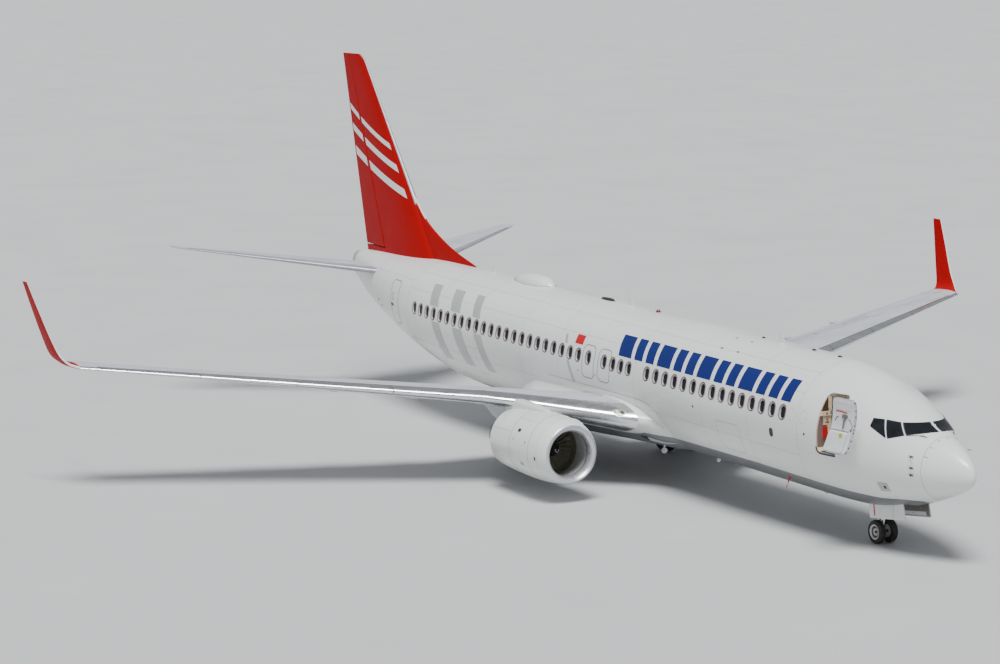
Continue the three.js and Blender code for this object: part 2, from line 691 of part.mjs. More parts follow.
function pylonShape(y, grow) {
  return loft(PYLON.map((row) => {
    const width = row.half + grow;
    const [top, bottom] = [ENGINE_Z + row.top + grow, ENGINE_Z + row.bottom - grow];
    const half = [[0, top + PYLON_RIDGE], [width, top], [width, bottom], [0, bottom - PYLON_RIDGE]];
    const outline = [...half, [-width, bottom], [-width, top]];
    return outline.map(([dy, z]) => [stationX(row.s), y + dy, z]);
  }));
}

function buildEngine(kind, label) {
  const y = kind.side * ENGINE_Y;
  const core = spunAboutX(CORE_PROFILE, 20, y);
  const grownCore = spunAboutX(CORE_PROFILE.map(([s, r]) => [s, r > 0 ? r + SEAT_GAP : 0]), 20, y);
  const cutter = pylonShape(y, SEAT_GAP).add(liftingSurface(kind, wingSpans, 20));
  const pylon = pylonShape(y, 0)
    .subtract(liftingSurface(kind, wingSpans, SEAT_GAP))
    .subtract(joined(TRACK_FAIRINGS.map((track) => trackFairing(kind, track, SEAT_GAP))))
    .subtract(grownCore);
  for (const [name, profile] of Object.entries(COWLS)) {
    const cowl = spunAboutX(profile, NACELLE_SIDES, y, HIGH_TOP, FLAT_BOTTOM);
    addPiece(`${name}_${label}`, cowl.subtract(cutter), "white");
  }
  addPiece(`engine_core_${label}`, core, "darkMetal");
  addPiece(`pylon_${label}`, biggest(pylon), "white");
  addPiece(`fan_${label}`, fanShape(y), "fanMetal");
}

function biggest(shape) {
  return shape.decompose().sort((a, b) => b.volume() - a.volume())[0];
}

// The fan: a spinner and hub with blades that twist from root to tip.
function fanShape(y) {
  const hub = spunAboutX([
    [FAN.spinnerTip, 0], [FAN.spinnerTip + 100, 70], [FAN.spinnerTip + 240, 160], [FAN.front, FAN.hub],
    [FAN.rear, FAN.hub + 40], [CORE_FRONT - PIN_GAP, FAN.hub + 40], [CORE_FRONT - PIN_GAP, 0],
  ], 20, y);
  const blades = Array.from({ length: FAN.blades }, (_, k) => fanBlade(y, (2 * Math.PI * k) / FAN.blades));
  return joined([hub, ...blades]);
}

function fanBlade(y, turn) {
  const sections = rows(["radius", "pitch", "chord", "half"], [
    [FAN.hub - 40, 25, 300, 14],
    [FAN.tip, 62, 350, 5],
  ]);
  return loft(sections.map((row) => {
    const pitch = THREE.MathUtils.degToRad(row.pitch);
    const outline = [[-0.5, 0.2], [0, 1], [0.5, 0.2], [0.5, -0.2], [0, -1], [-0.5, -0.2]];
    return outline.map(([along, thick]) => {
      const [a, b] = [along * row.chord, thick * row.half];
      const aft = a * Math.cos(pitch) - b * Math.sin(pitch);
      const round = a * Math.sin(pitch) + b * Math.cos(pitch);
      const angle = turn + round / row.radius;
      return [stationX((FAN.front + FAN.rear) / 2 + aft), y + row.radius * Math.sin(angle),
        ENGINE_Z + row.radius * Math.cos(angle)];
    });
  }), "strip");
}

// Half of a tyre's section runs round from bead to bead, and the hub fills the bead. The tyre stands
// on one flat of its tread.
function tyreShape(wheel, centre) {
  const [w, rim, b] = [wheel.width / 2, wheel.rim, wheel.bulge];
  const r = wheel.radius / Math.cos(Math.PI / WHEEL_SIDES);
  const profile = [
    [rim, -w * 0.8], [r - b * 1.6, -w], [r - b * 0.4, -w * 0.82], [r, -w * 0.4],
    [r, w * 0.4], [r - b * 0.4, w * 0.82], [r - b * 1.6, w], [rim, w * 0.8], [rim, -w * 0.8],
  ];
  return spunAboutY(profile, WHEEL_SIDES, centre);
}

function hubShape(wheel, centre, outward) {
  const [rim, w] = [wheel.rim - SEAT_GAP, wheel.width / 2];
  const bore = (wheel.axleRadius + PIN_GAP / 2) / Math.cos(Math.PI / WHEEL_SIDES);
  const profile = [
    [bore, -w * 0.55], [rim * 0.85, -w * 0.4], [rim * 0.9, -w * 0.78], [rim, -w * 0.78],
    [rim, w * 0.78], [rim * 0.9, w * 0.78], [bore, w * 0.2], [bore, -w * 0.55],
  ];
  return spunAboutY(profile.map(([r, y]) => [r, y * -outward]), WHEEL_SIDES, centre);
}

function buildWheels(prefix, wheel, x, y) {
  for (const [place, side] of [["left", 1], ["right", -1]]) {
    const centre = [x, y + (side * wheel.spacing) / 2, wheel.radius];
    addPiece(`${prefix}_tyre_${place}`, tyreShape(wheel, centre), "rubber");
    addPiece(`${prefix}_hub_${place}`, hubShape(wheel, centre, side), "gearWhite");
  }
}

function axle(wheel, x, y) {
  const reach = wheel.spacing / 2 + wheel.width * 0.32;
  return bar([x, y - reach, wheel.radius], [x, y + reach, wheel.radius], wheel.axleRadius, WHEEL_SIDES);
}

function buildNoseGear() {
  const x = stationX(NOSE_GEAR_STATION);
  const wheel = WHEELS.nose;
  const strut = joined([
    bar([x, 0, STEERING_LEVEL], [x, 0, NOSE_BAY.roof - PIN_GAP], 95, 16),
    bar([x + 30, 0, 1750], [x + 850, 0, 2180], 45, 12),
    bar([x, -300, 2200], [x, 300, 2200], 48, 12),
  ]);
  const fork = joined([bar([x, 0, 330], [x, 0, STEERING_LEVEL - PIN_GAP], 62), axle(wheel, x, 0),
    bar([x - 60, 0, 900], [x - 170, 0, 650], 26, 8), bar([x - 170, 0, 650], [x - 40, 0, 420], 26, 8)]);
  addPiece("nose_gear_strut", strut, "gearWhite");
  addPiece("nose_gear_fork", fork, "metal");
  buildWheels("nose", wheel, x, 0);
}

function buildMainGear(kind, label) {
  const x = stationX(MAIN_GEAR_STATION);
  const y = kind.side * MAIN_GEAR_Y;
  const wheel = WHEELS.main;
  const leg = joined([
    bar([x, y, wheel.radius - 60], [x, y, 1250], 85, 12),
    bar([x, y, 1150], [x, y, 2400], 125, 12),
    bar([x, y, 1300], [x, y - kind.side * 1250, 1850], 60, 8),
    bar([x - 60, y, 1150], [x - 330, y, 900], 38, 6),
    bar([x - 330, y, 900], [x - 60, y, 600], 38, 6),
    axle(wheel, x, y),
  ]);
  const cut = leg
    .subtract(liftingSurface(kind, wingSpans, SEAT_GAP))
    .subtract(surfaceBlock(kind, 1900, 3600, 0.2, 1.3).subtract(surfaceBelow(kind)))
    .subtract(grownBody);
  addPiece(`main_gear_leg_${label}`, biggest(cut), "gearWhite");
  buildWheels(`main_${label}`, wheel, x, y);
}

// Everything under the wing's skin line near the main leg.
function surfaceBelow(kind) {
  return loft([1900, 3600].map((v) => {
    const section = surfaceSection(kind, v);
    return [[0.2, -2600], [1.3, -2600], [1.3, -30], [0.2, -30]]
      .map(([along, height]) => sectionPoint(section, along, height));
  }));
}

function buildGearDoors() {
  const outline = [[2640, 1560], [4240, 1330], [4170, 800], [4140, 775], [2500, 985], [2478, 1010]];
  for (const [side, label] of [[1, "left"], [-1, "right"]]) {
    const ring = (y) => outline.map(([s, z]) => [stationX(s), side * y, z]);
    const door = loft([ring(425), ring(455)]).subtract(grownBody);
    addPiece(`nose_gear_door_${label}`, biggest(door), "lightGrey");
  }
}

// The doorway as an upright block with round corners, from the cabin lining out past the skin.
function doorwayBlock() {
  const { aft, fore, sill, height, corner, depth } = DOORWAY;
  const [w, h] = [aft - fore - corner, height - corner];
  const shape = new THREE.Shape();
  shape.absarc(w, h, corner, 0, Math.PI / 2);
  shape.absarc(corner, h, corner, Math.PI / 2, Math.PI);
  shape.absarc(corner, corner, corner, Math.PI, 1.5 * Math.PI);
  shape.absarc(w, corner, corner, 1.5 * Math.PI, 2 * Math.PI);
  const options = { depth: 2 * depth, bevelEnabled: false, curveSegments: 4 };
  const geometry = new THREE.ExtrudeGeometry(shape, options);
  geometry.rotateX(Math.PI / 2);
  const place = [stationX(aft), depth - CABIN_RADIUS, sill];
  return placed(geometry, new THREE.Matrix4().makeTranslation(...place));
}

// A point of the leaf, by its shares of the way from the aft edge to the forward one and from the foot
// to the top, and by its depth under the outer skin.
function leafPoint(along, up, depth) {
  const { width, height, swing, tilt } = DOOR;
  const a = (along - 0.5) * width;
  const h = (up - 0.5) * height;
  const shift = DOOR.lean * (0.5 - up) + DOOR.bulge * (2 * up - 1) ** 2;
  return [
    stationX(DOOR.station) + a * Math.cos(swing) * Math.cos(tilt) + h * Math.sin(tilt),
    DOOR.y + a * Math.sin(swing) - shift - depth,
    DOOR.z - a * Math.cos(swing) * Math.sin(tilt) + h * Math.cos(tilt),
  ];
}

function doorArm({ z, wallY, elbowY, up }) {
  const x = stationX(DOOR_ARM.station);
  const { radius, knuckle, knuckleHalf, hinge } = DOOR_ARM;
  return [
    bar([x, wallY, z], [x, elbowY, z], radius, 8),
    bar([x, elbowY, z - knuckleHalf], [x, elbowY, z + knuckleHalf], knuckle, 12),
    bar([x, elbowY, z], leafPoint(hinge, up, DOOR.thickness / 2), radius, 8),
  ];
}

// The leaf is a curved slab with round corners.
function leafSlab() {
  const { corner, width, height, thickness } = DOOR;
  const [turns, levels] = [4, 8];
  const edge = Array.from({ length: turns + 1 }, (_, k) => {
    const angle = (k * Math.PI) / (2 * turns);
    const inset = (corner * (1 - Math.cos(angle))) / width;
    return { inset, trim: (corner * (1 - Math.sin(angle))) / height };
  });
  const stations = [
    ...edge.map(({ inset, trim }) => ({ along: inset, trim })),
    ...edge.toReversed().map(({ inset, trim }) => ({ along: 1 - inset, trim })),
  ];
  return loft(stations.map(({ along, trim }) => {
    const ups = Array.from({ length: levels + 1 }, (_, k) => lerp(trim, 1 - trim, k / levels));
    const skin = ups.map((up) => leafPoint(along, up, 0));
    return [...skin, ...ups.toReversed().map((up) => leafPoint(along, up, thickness))];
  }), "strip");
}

function buildServiceDoor() {
  const door = joined([leafSlab(), ...DOOR_ARMS.flatMap(doorArm)]).subtract(grownBody);
  addPiece("door_front_right", biggest(door), "white");
}

function buildDome() {
  const sides = 16;
  const dome = loft(DOME.map(({ s, size }) => Array.from({ length: sides }, (_, k) => {
    const angle = (2 * Math.PI * k) / sides;
    const foot = axisHeight(s) + CABIN_RADIUS - 60;
    const height = DOME_HEIGHT * size * Math.cos(angle);
    return [stationX(s), DOME_HALF * size * Math.sin(angle), foot + height];
  })));
  addPiece("antenna_dome", biggest(dome.subtract(grownBody)), "white");
}

buildFuselage();
const plainFairing = fairing(0).subtract(grownBody).subtract(wheelWell(1)).subtract(wheelWell(-1));
addPiece("wing_body_fairing", biggest(plainFairing), "white");
for (const [kind, label] of [[left, "left"], [right, "right"]]) {
  buildWing(kind, label);
  buildEngine(kind, label);
  buildMainGear(kind, label);
}
buildTail();
buildNoseGear();
buildGearDoors();
buildServiceDoor();
buildDome();

export default airframe;
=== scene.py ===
import math

import bmesh
import bpy
from mathutils import Matrix, Vector


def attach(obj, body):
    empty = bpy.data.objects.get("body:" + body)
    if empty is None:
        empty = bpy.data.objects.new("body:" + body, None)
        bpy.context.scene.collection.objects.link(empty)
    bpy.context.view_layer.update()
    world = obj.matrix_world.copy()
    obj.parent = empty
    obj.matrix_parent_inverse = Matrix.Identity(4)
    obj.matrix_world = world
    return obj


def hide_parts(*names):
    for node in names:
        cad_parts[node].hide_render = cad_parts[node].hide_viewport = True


bpy.ops.wm.read_factory_settings(use_empty=True)
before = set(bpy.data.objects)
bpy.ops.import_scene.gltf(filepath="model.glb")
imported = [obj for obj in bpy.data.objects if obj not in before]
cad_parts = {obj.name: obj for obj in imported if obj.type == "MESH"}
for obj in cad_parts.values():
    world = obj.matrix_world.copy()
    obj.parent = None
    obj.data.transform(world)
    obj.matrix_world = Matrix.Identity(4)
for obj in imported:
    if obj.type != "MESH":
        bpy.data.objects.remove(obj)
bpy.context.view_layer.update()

# Driving dimensions, in millimetres. Stations are distances aft of the nose tip.
LENGTH = 39470
BODY_LENGTH = 38020
CABIN_RADIUS = 1880
BELLY_DEPTH = 2130
AXIS_HEIGHT = 3120
NOSE_DOWN_SLOPE = 0.0151
FIN_TOP = 12595
TAIL_CONE_SEAM = 37380
WING_TIP_Y = 17000
WING_TIP_Z = 3910
WING_TIP_RISE = 45
ENGINE_Y = 4837
ENGINE_Z = 1526
MAIN_GEAR_STATION = 19750
MAIN_GEAR_Y = 2860
NOSE_GEAR_STATION = 4150
RADOME_SEAM = 1280
SIDES = {"left": 1, "right": -1}


def rows(columns, table):
    return [dict(zip(columns, row)) for row in table]


# Body sections: station, half width, then top, bottom and widest level over the cabin axis.
BODY = rows(["s", "half", "top", "bottom", "mid"], [
    [0, 0, -560, -560, -560],
    [40, 110, -390, -730, -560],
    [150, 215, -230, -870, -555],
    [500, 440, 30, -1075, -545],
    [1000, 710, 275, -1290, -525],
    [1450, 920, 450, -1455, -500],
    [1750, 1040, 565, -1560, -480],
    [2200, 1205, 845, -1700, -430],
    [2800, 1395, 1150, -1860, -350],
    [3500, 1570, 1400, -1995, -250],
    [4500, 1735, 1680, -2095, -130],
    [6000, 1860, 1870, -BELLY_DEPTH, -10],
    [7000, CABIN_RADIUS, CABIN_RADIUS, -BELLY_DEPTH, 0],
    [24500, CABIN_RADIUS, CABIN_RADIUS, -BELLY_DEPTH, 0],
    [26000, CABIN_RADIUS, CABIN_RADIUS, -BELLY_DEPTH, 10],
    [28000, 1855, CABIN_RADIUS, -2050, 60],
    [30000, 1750, CABIN_RADIUS, -1760, 200],
    [32000, 1530, 1830, -1340, 400],
    [34000, 1220, 1750, -840, 620],
    [36000, 810, 1650, -240, 850],
    [37400, 440, 1530, 300, 1000],
    [BODY_LENGTH, 240, 1420, 560, 1020],
])


def station_x(s):
    return (LENGTH / 2 - s) / 1000


def axis_height(s):
    return AXIS_HEIGHT + NOSE_DOWN_SLOPE * s


def lerp(a, b, t):
    return a + (b - a) * t


def clamp(value, low, high):
    return max(low, min(high, value))


def steps(start, end, count):
    return [lerp(start, end, k / count) for k in range(count + 1)]


def between(table, key, value):
    """A row between two rows of a table, straight between its neighbours."""
    i = 1
    while i < len(table) - 1 and table[i][key] < value:
        i += 1
    a, b = table[i - 1], table[i]
    t = (value - a[key]) / (b[key] - a[key])
    return {column: lerp(a[column], b[column], t) for column in a}


def slope_at(places, values, k):
    def slope(i):
        return (values[i + 1] - values[i]) / (places[i + 1] - places[i])
    if k == 0:
        return slope(0)
    if k == len(values) - 1:
        return slope(k - 1)
    before, after = slope(k - 1), slope(k)
    return 0 if before * after <= 0 else 2 * before * after / (before + after)


def curve_value(places, values, u):
    """A smooth curve through the values that never swings past them."""
    i = 1
    while i < len(places) - 1 and places[i] < u:
        i += 1
    step = places[i] - places[i - 1]
    t = (u - places[i - 1]) / step
    m0, m1 = [slope_at(places, values, k) * step for k in (i - 1, i)]
    return ((2 * t ** 3 - 3 * t ** 2 + 1) * values[i - 1] + (t ** 3 - 2 * t ** 2 + t) * m0
            + (3 * t ** 2 - 2 * t ** 3) * values[i] + (t ** 3 - t ** 2) * m1)


def path_lengths(points):
    """The distance along a path of each of its points."""
    length = [0.0]
    for a, b in zip(points, points[1:]):
        length.append(length[-1] + math.hypot(b[0] - a[0], b[1] - a[1]))
    return length


BODY_PLACES = [math.sqrt(row["s"]) for row in BODY]
BODY_COLUMNS = {c: [row[c] for row in BODY] for c in ("half", "top", "bottom", "mid")}


def body_values(s):
    u = math.sqrt(max(s, 0))
    return [curve_value(BODY_PLACES, BODY_COLUMNS[c], u) for c in ("half", "top", "bottom", "mid")]


def skin(s, angle):
    """A point of the body's skin. The angle is measured from the crown, positive to the left."""
    half, top, bottom, mid = body_values(s)
    rise = top - mid if math.cos(angle) > 0 else mid - bottom
    return Vector((station_x(s), half * math.sin(angle) / 1000,
                   (axis_height(s) + mid + rise * math.cos(angle)) / 1000))


def skin_angle(s, level, side):
    """The angle on the skin of a level over the cabin axis."""
    top, bottom, mid = body_values(s)[1:]
    reach = top - mid if level > mid else mid - bottom
    return side * math.acos(clamp((level - mid) / reach, -1, 1))


def skin_normal(s, angle):
    along = skin(s + 5, angle) - skin(max(s - 5, 1), angle)
    around = skin(s, angle + 0.004) - skin(s, angle - 0.004)
    return around.cross(along).normalized()


def on_skin(s, level, side, lift=0):
    """A point of the skin at a level over the cabin axis, lifted off it, and its normal."""
    angle = skin_angle(s, level, side)
    normal = skin_normal(s, angle)
    return skin(s, angle) + normal * lift / 1000, normal


# Materials
NOISE_LOW = 0.35
NOISE_HIGH = 0.68
COAT_ROUGHNESS = 0.12
BUMP_DEPTH = 0.002


def noise_factor(tree, scale, stretch, low, high, detail=4):
    """A noise over the part, stretched along its axes and spread between two values."""
    place = tree.nodes.new("ShaderNodeTexCoord")
    mapping = tree.nodes.new("ShaderNodeMapping")
    mapping.inputs["Scale"].default_value = stretch
    noise = tree.nodes.new("ShaderNodeTexNoise")
    noise.inputs["Scale"].default_value = scale
    noise.inputs["Detail"].default_value = detail
    spread = tree.nodes.new("ShaderNodeMapRange")
    spread.inputs["From Min"].default_value = NOISE_LOW
    spread.inputs["From Max"].default_value = NOISE_HIGH
    spread.inputs["To Min"].default_value = low
    spread.inputs["To Max"].default_value = high
    tree.links.new(place.outputs["Object"], mapping.inputs["Vector"])
    tree.links.new(mapping.outputs["Vector"], noise.inputs["Vector"])
    tree.links.new(noise.outputs["Fac"], spread.inputs["Value"])
    return spread.outputs["Result"]


def blended(tree, factor, first, second):
    mix = tree.nodes.new("ShaderNodeMix")
    mix.data_type = "RGBA"
    tree.links.new(factor, mix.inputs["Factor"])
    for socket, colour in ((mix.inputs[6], first), (mix.inputs[7], second)):
        socket.default_value = (*colour, 1)
    return mix.outputs[2]


def material(name, colour, worn, rough, *, scale, metal=0.0, stretch=(1, 1, 1), dirt=0.5, bump=0.0,
             bump_scale=60.0, coat=0.0, rough_spread=0.08, gleam=0.5):
    """A finish whose colour drifts towards its worn colour, with uneven gloss and a fine bump."""
    made = bpy.data.materials.new(name)
    made.use_nodes = True
    tree = made.node_tree
    shader = tree.nodes["Principled BSDF"]
    shader.inputs["Metallic"].default_value = metal
    shader.inputs["Coat Weight"].default_value = coat
    shader.inputs["Coat Roughness"].default_value = COAT_ROUGHNESS
    shader.inputs["Specular IOR Level"].default_value = gleam
    soil = noise_factor(tree, scale, stretch, 0.0, dirt)
    tree.links.new(blended(tree, soil, colour, worn), shader.inputs["Base Color"])
    gloss = noise_factor(tree, scale * 3, stretch, rough - rough_spread, rough + rough_spread)
    tree.links.new(gloss, shader.inputs["Roughness"])
    if bump:
        grain = noise_factor(tree, bump_scale, stretch, 0.0, 1.0, detail=2)
        relief = tree.nodes.new("ShaderNodeBump")
        relief.inputs["Strength"].default_value = bump
        relief.inputs["Distance"].default_value = BUMP_DEPTH
        tree.links.new(grain, relief.inputs["Height"])
        tree.links.new(relief.outputs["Normal"], shader.inputs["Normal"])
    return made


WHITE = material("white_paint_finish", (0.80, 0.815, 0.80), (0.66, 0.68, 0.66), 0.3, scale=0.35,
                 stretch=(0.35, 1, 1.6), dirt=0.45, coat=0.2, bump=0.03, bump_scale=3)
# Grey belly paint, also on the fairing's bottom, made darker than the paint's own grey as painted shade
# under the body.
BELLY_GREY_AND_SHADE = material("belly_grey_and_shade_finish", (0.19, 0.20, 0.21), (0.13, 0.135, 0.14), 0.4, scale=0.6,
                      stretch=(0.3, 1, 1), dirt=0.7, coat=0.2)
BAND_GREY = material("band_grey_finish", (0.43, 0.455, 0.45), (0.37, 0.39, 0.385), 0.3, scale=0.8, coat=0.3)
WING_GREY = material("wing_grey_finish", (0.56, 0.58, 0.63), (0.43, 0.445, 0.48), 0.38, scale=0.9,
                     stretch=(2.2, 0.5, 1), dirt=0.7, bump=0.04, bump_scale=8)
RED = material("red_paint_finish", (0.40, 0.0015, 0.004), (0.34, 0.0015, 0.003), 0.5, scale=0.5,
               rough_spread=0.02, gleam=0.08)
RED_MARK = material("red_mark_finish", (0.56, 0.008, 0.012), (0.42, 0.006, 0.009), 0.42, scale=3)
BLUE = material("blue_paint_finish", (0.006, 0.018, 0.155), (0.005, 0.014, 0.12), 0.42, scale=0.8,
                coat=0.05, gleam=0.3)
EDGE_METAL = material("edge_metal_finish", (0.44, 0.46, 0.51), (0.34, 0.355, 0.39), 0.5, metal=0.7,
                      scale=1.6)
POLISHED = material("polished_metal_finish", (0.83, 0.84, 0.85), (0.62, 0.63, 0.65), 0.24, metal=1.0,
                    scale=1.6, stretch=(1, 0.4, 1), dirt=0.6, bump=0.05, bump_scale=14)
LIP_METAL = material("lip_metal_finish", (0.68, 0.68, 0.73), (0.58, 0.58, 0.62), 0.38, metal=0.75,
                     scale=2.5, stretch=(0.6, 2, 2), dirt=0.4)
HOT_METAL = material("hot_metal_finish", (0.33, 0.30, 0.27), (0.16, 0.14, 0.13), 0.38, metal=0.9,
                     scale=2.4, stretch=(2, 1, 1), dirt=0.9)
DARK_METAL = material("dark_metal_finish", (0.09, 0.092, 0.098), (0.04, 0.04, 0.043), 0.33, metal=0.85,
                      scale=4, dirt=0.7)
BARREL_GREY = material("barrel_grey_finish", (0.40, 0.40, 0.385), (0.31, 0.31, 0.295), 0.45, scale=3,
                       bump=0.1, bump_scale=120)
FAN_CASE = material("fan_case_finish", (0.17, 0.165, 0.12), (0.11, 0.105, 0.08), 0.5, scale=4)
FAN_METAL = material("fan_metal_finish", (0.46, 0.44, 0.34), (0.26, 0.25, 0.2), 0.36, metal=0.6, scale=5)
DOOR_LINE = material("door_line_finish", (0.15, 0.155, 0.155), (0.10, 0.105, 0.105), 0.5, scale=5)
FRAME_ROSE = material("window_frame_finish", (0.17, 0.12, 0.14), (0.12, 0.085, 0.10), 0.45, scale=9)
DOOR_INSIDE = material("gear_door_inside_finish", (0.19, 0.175, 0.155), (0.12, 0.108, 0.095), 0.45, scale=7)
SEAM = material("seam_finish", (0.40, 0.41, 0.41), (0.30, 0.31, 0.31), 0.5, scale=4)
GAP_DARK = material("gap_dark_finish", (0.055, 0.056, 0.058), (0.02, 0.02, 0.02), 0.6, scale=6)
GLASS = material("cabin_glass_finish", (0.010, 0.011, 0.014), (0.022, 0.024, 0.03), 0.07, scale=3,
                 rough_spread=0.02, gleam=0.2)
REVEAL = material("window_reveal_finish", (0.70, 0.66, 0.67), (0.50, 0.45, 0.46), 0.4, scale=8)
LINING = material("door_lining_finish", (0.76, 0.60, 0.40), (0.58, 0.44, 0.28), 0.5, scale=5)
CABIN_PANEL = material("cabin_panel_finish", (0.66, 0.67, 0.67), (0.52, 0.53, 0.54), 0.45, scale=4)
# Dark brown for the upper wall inside the doorway: painted shade under the doorway's top edge.
CABIN_PAINTED_SHADE = material("cabin_painted_shade_finish", (0.075, 0.032, 0.012), (0.04, 0.018, 0.008), 0.55, scale=6)
CABIN_ROSE = material("cabin_rose_finish", (0.24, 0.155, 0.14), (0.16, 0.10, 0.09), 0.55, scale=6)
LEVER_GREY = material("lever_finish", (0.14, 0.145, 0.15), (0.09, 0.092, 0.095), 0.4, scale=9)
ORANGE_MARK = material("orange_mark_finish", (0.66, 0.20, 0.06), (0.5, 0.14, 0.04), 0.45, scale=9)
GEAR_PAINT = material("gear_paint_finish", (0.60, 0.61, 0.615), (0.36, 0.35, 0.33), 0.35, scale=7,
                      dirt=0.7, bump=0.08, bump_scale=90)
CHROME = material("chrome_rod_finish", (0.86, 0.87, 0.88), (0.7, 0.7, 0.72), 0.1, metal=1.0, scale=9,
                  rough_spread=0.04)
RUBBER = material("tyre_rubber_finish", (0.018, 0.018, 0.019), (0.055, 0.053, 0.05), 0.75, scale=11,
                  dirt=0.8, bump=0.3, bump_scale=160)
HUB_WHITE = material("hub_paint_finish", (0.68, 0.68, 0.66), (0.42, 0.40, 0.37), 0.4, scale=12, dirt=0.8)
BLACK_TRIM = material("black_trim_finish", (0.02, 0.02, 0.022), (0.05, 0.05, 0.05), 0.5, scale=9)
LAMP_GLASS = material("lamp_glass_finish", (0.86, 0.88, 0.9), (0.7, 0.72, 0.75), 0.08, scale=8,
                      rough_spread=0.03, coat=0.5)
LAMP_HOUSING = material("lamp_housing_finish", (0.42, 0.42, 0.33), (0.30, 0.30, 0.24), 0.2, scale=9,
                        coat=0.5)
BEACON_RED = material("beacon_finish", (0.26, 0.008, 0.009), (0.15, 0.005, 0.005), 0.15, scale=12, coat=0.6)
YELLOW_MARK = material("yellow_mark_finish", (0.42, 0.40, 0.04), (0.3, 0.28, 0.03), 0.5, scale=9)
FLOOR = material("floor_finish", (0.58, 0.585, 0.59), (0.545, 0.55, 0.555), 0.65, scale=0.08, dirt=0.6)


# Mesh building
SHARP_ANGLE = 35
WELD_DISTANCE = 0.00001


def smooth(mesh, sharp):
    """Shades a mesh smooth except over edges sharper than the given angle."""
    mesh.polygons.foreach_set("use_smooth", [True] * len(mesh.polygons))
    mesh.set_sharp_from_angle(angle=math.radians(sharp))


def clean(mesh):
    """Merges doubled points and turns the faces outward."""
    work = bmesh.new()
    work.from_mesh(mesh)
    bmesh.ops.remove_doubles(work, verts=work.verts, dist=WELD_DISTANCE)
    bmesh.ops.recalc_face_normals(work, faces=work.faces)
    work.to_mesh(mesh)
    work.free()


class Build:
    """Points, in metres, and faces of one piece, gathered part by part."""

    def __init__(self, name, *materials, sharp=SHARP_ANGLE):
        self.name, self.materials, self.sharp = name, list(materials), sharp
        self.points, self.faces, self.indices = [], [], []

    def add(self, points, faces, index):
        base = len(self.points)
        self.points += [Vector(p) for p in points]
        self.faces += [tuple(base + i for i in face) for face in faces]
        self.indices += [index] * len(faces)

    def loft(self, rings, index=0, capped=True, closed=True, index_of=None):
        """Rings joined in order. index_of(ring, place) can give single faces another material."""
        count = len(rings[0])
        base = len(self.points)
        self.points += [Vector(p) for ring in rings for p in ring]
        for i in range(len(rings) - 1):
            for j in range(count if closed else count - 1):
                a, b = base + i * count + j, base + i * count + (j + 1) % count
                self.faces.append((a, b, b + count, a + count))
                self.indices.append(index_of(i, j) if index_of else index)
        if capped:
            last = base + (len(rings) - 1) * count
            self.faces.append(tuple(base + j for j in reversed(range(count))))
            self.faces.append(tuple(last + j for j in range(count)))
            self.indices += [index, index]

    def grid(self, patch, index=0):
        """An open sheet from rows of points."""
        self.loft(patch, index, capped=False, closed=False)

    def ribbon(self, path, width, index=0, closed=False):
        """A flat strip that follows (point, normal) pairs."""
        count = len(path)
        edges = []
        for k, (point, normal) in enumerate(path):
            before = path[(k - 1) % count][0] if closed or k > 0 else point
            after = path[(k + 1) % count][0] if closed or k < count - 1 else point
            across = (after - before).cross(normal).normalized() * width / 2000
            edges.append([point - across, point + across])
        if closed:
            edges.append(edges[0])
        self.grid(edges, index)

    def tube(self, path, radius, index=0, sides=10):
        """A round bar along a path of points. The radius can be one value or one for each point."""
        points = [Vector(p) for p in path]
        radii = radius if isinstance(radius, (list, tuple)) else [radius] * len(points)
        first = (points[1] - points[0]).normalized()
        side = first.orthogonal().normalized()
        rings = []
        for k, point in enumerate(points):
            ahead = (points[min(k + 1, len(points) - 1)] - points[max(k - 1, 0)]).normalized()
            side = (side - ahead * side.dot(ahead)).normalized()
            up = ahead.cross(side)
            rings.append([point + (side * math.cos(a) + up * math.sin(a)) * radii[k] / 1000
                          for a in steps(0, 2 * math.pi, sides)[:-1]])
        self.loft(rings, index)

    def lathe(self, profile, centre, axis, sides, index=0, index_of=None, closed=False):
        """A turned form: (distance along the axis, radius) pairs in millimetres round an axis."""
        line = Vector(axis).normalized()
        side = line.orthogonal().normalized()
        up = line.cross(side)
        centre = Vector(centre)
        turns = [side * math.cos(a) + up * math.sin(a) for a in steps(0, 2 * math.pi, sides)[:-1]]
        rings = [[centre + line * along / 1000 + turn * radius / 1000 for turn in turns]
                 for along, radius in profile]
        if closed:
            rings.append(rings[0])
        self.loft(rings, index, capped=not closed, index_of=index_of)

    def block(self, low, high, index=0):
        """A block between two corners, in metres."""
        xs, ys, zs = zip(low, high)
        corners = [(x, y, z) for x in xs for y in ys for z in zs]
        sides = [(0, 1, 3, 2), (4, 6, 7, 5), (0, 4, 5, 1), (2, 3, 7, 6), (0, 2, 6, 4), (1, 5, 7, 3)]
        self.add(corners, sides, index)

    def made(self):
        """The object that the points and faces make."""
        mesh = bpy.data.meshes.new(self.name)
        mesh.from_pydata([tuple(p) for p in self.points], [], self.faces)
        for entry in self.materials:
            mesh.materials.append(entry)
        mesh.polygons.foreach_set("material_index", self.indices)
        clean(mesh)
        smooth(mesh, self.sharp)
        made = bpy.data.objects.new(self.name, mesh)
        bpy.context.collection.objects.link(made)
        return made

    def done(self, body, *nodes, slot=None):
        """Makes the piece, lets it ride on a body and stand for the named nodes."""
        made = self.made()
        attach(made, body)
        if nodes:
            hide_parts(*nodes)
        return made


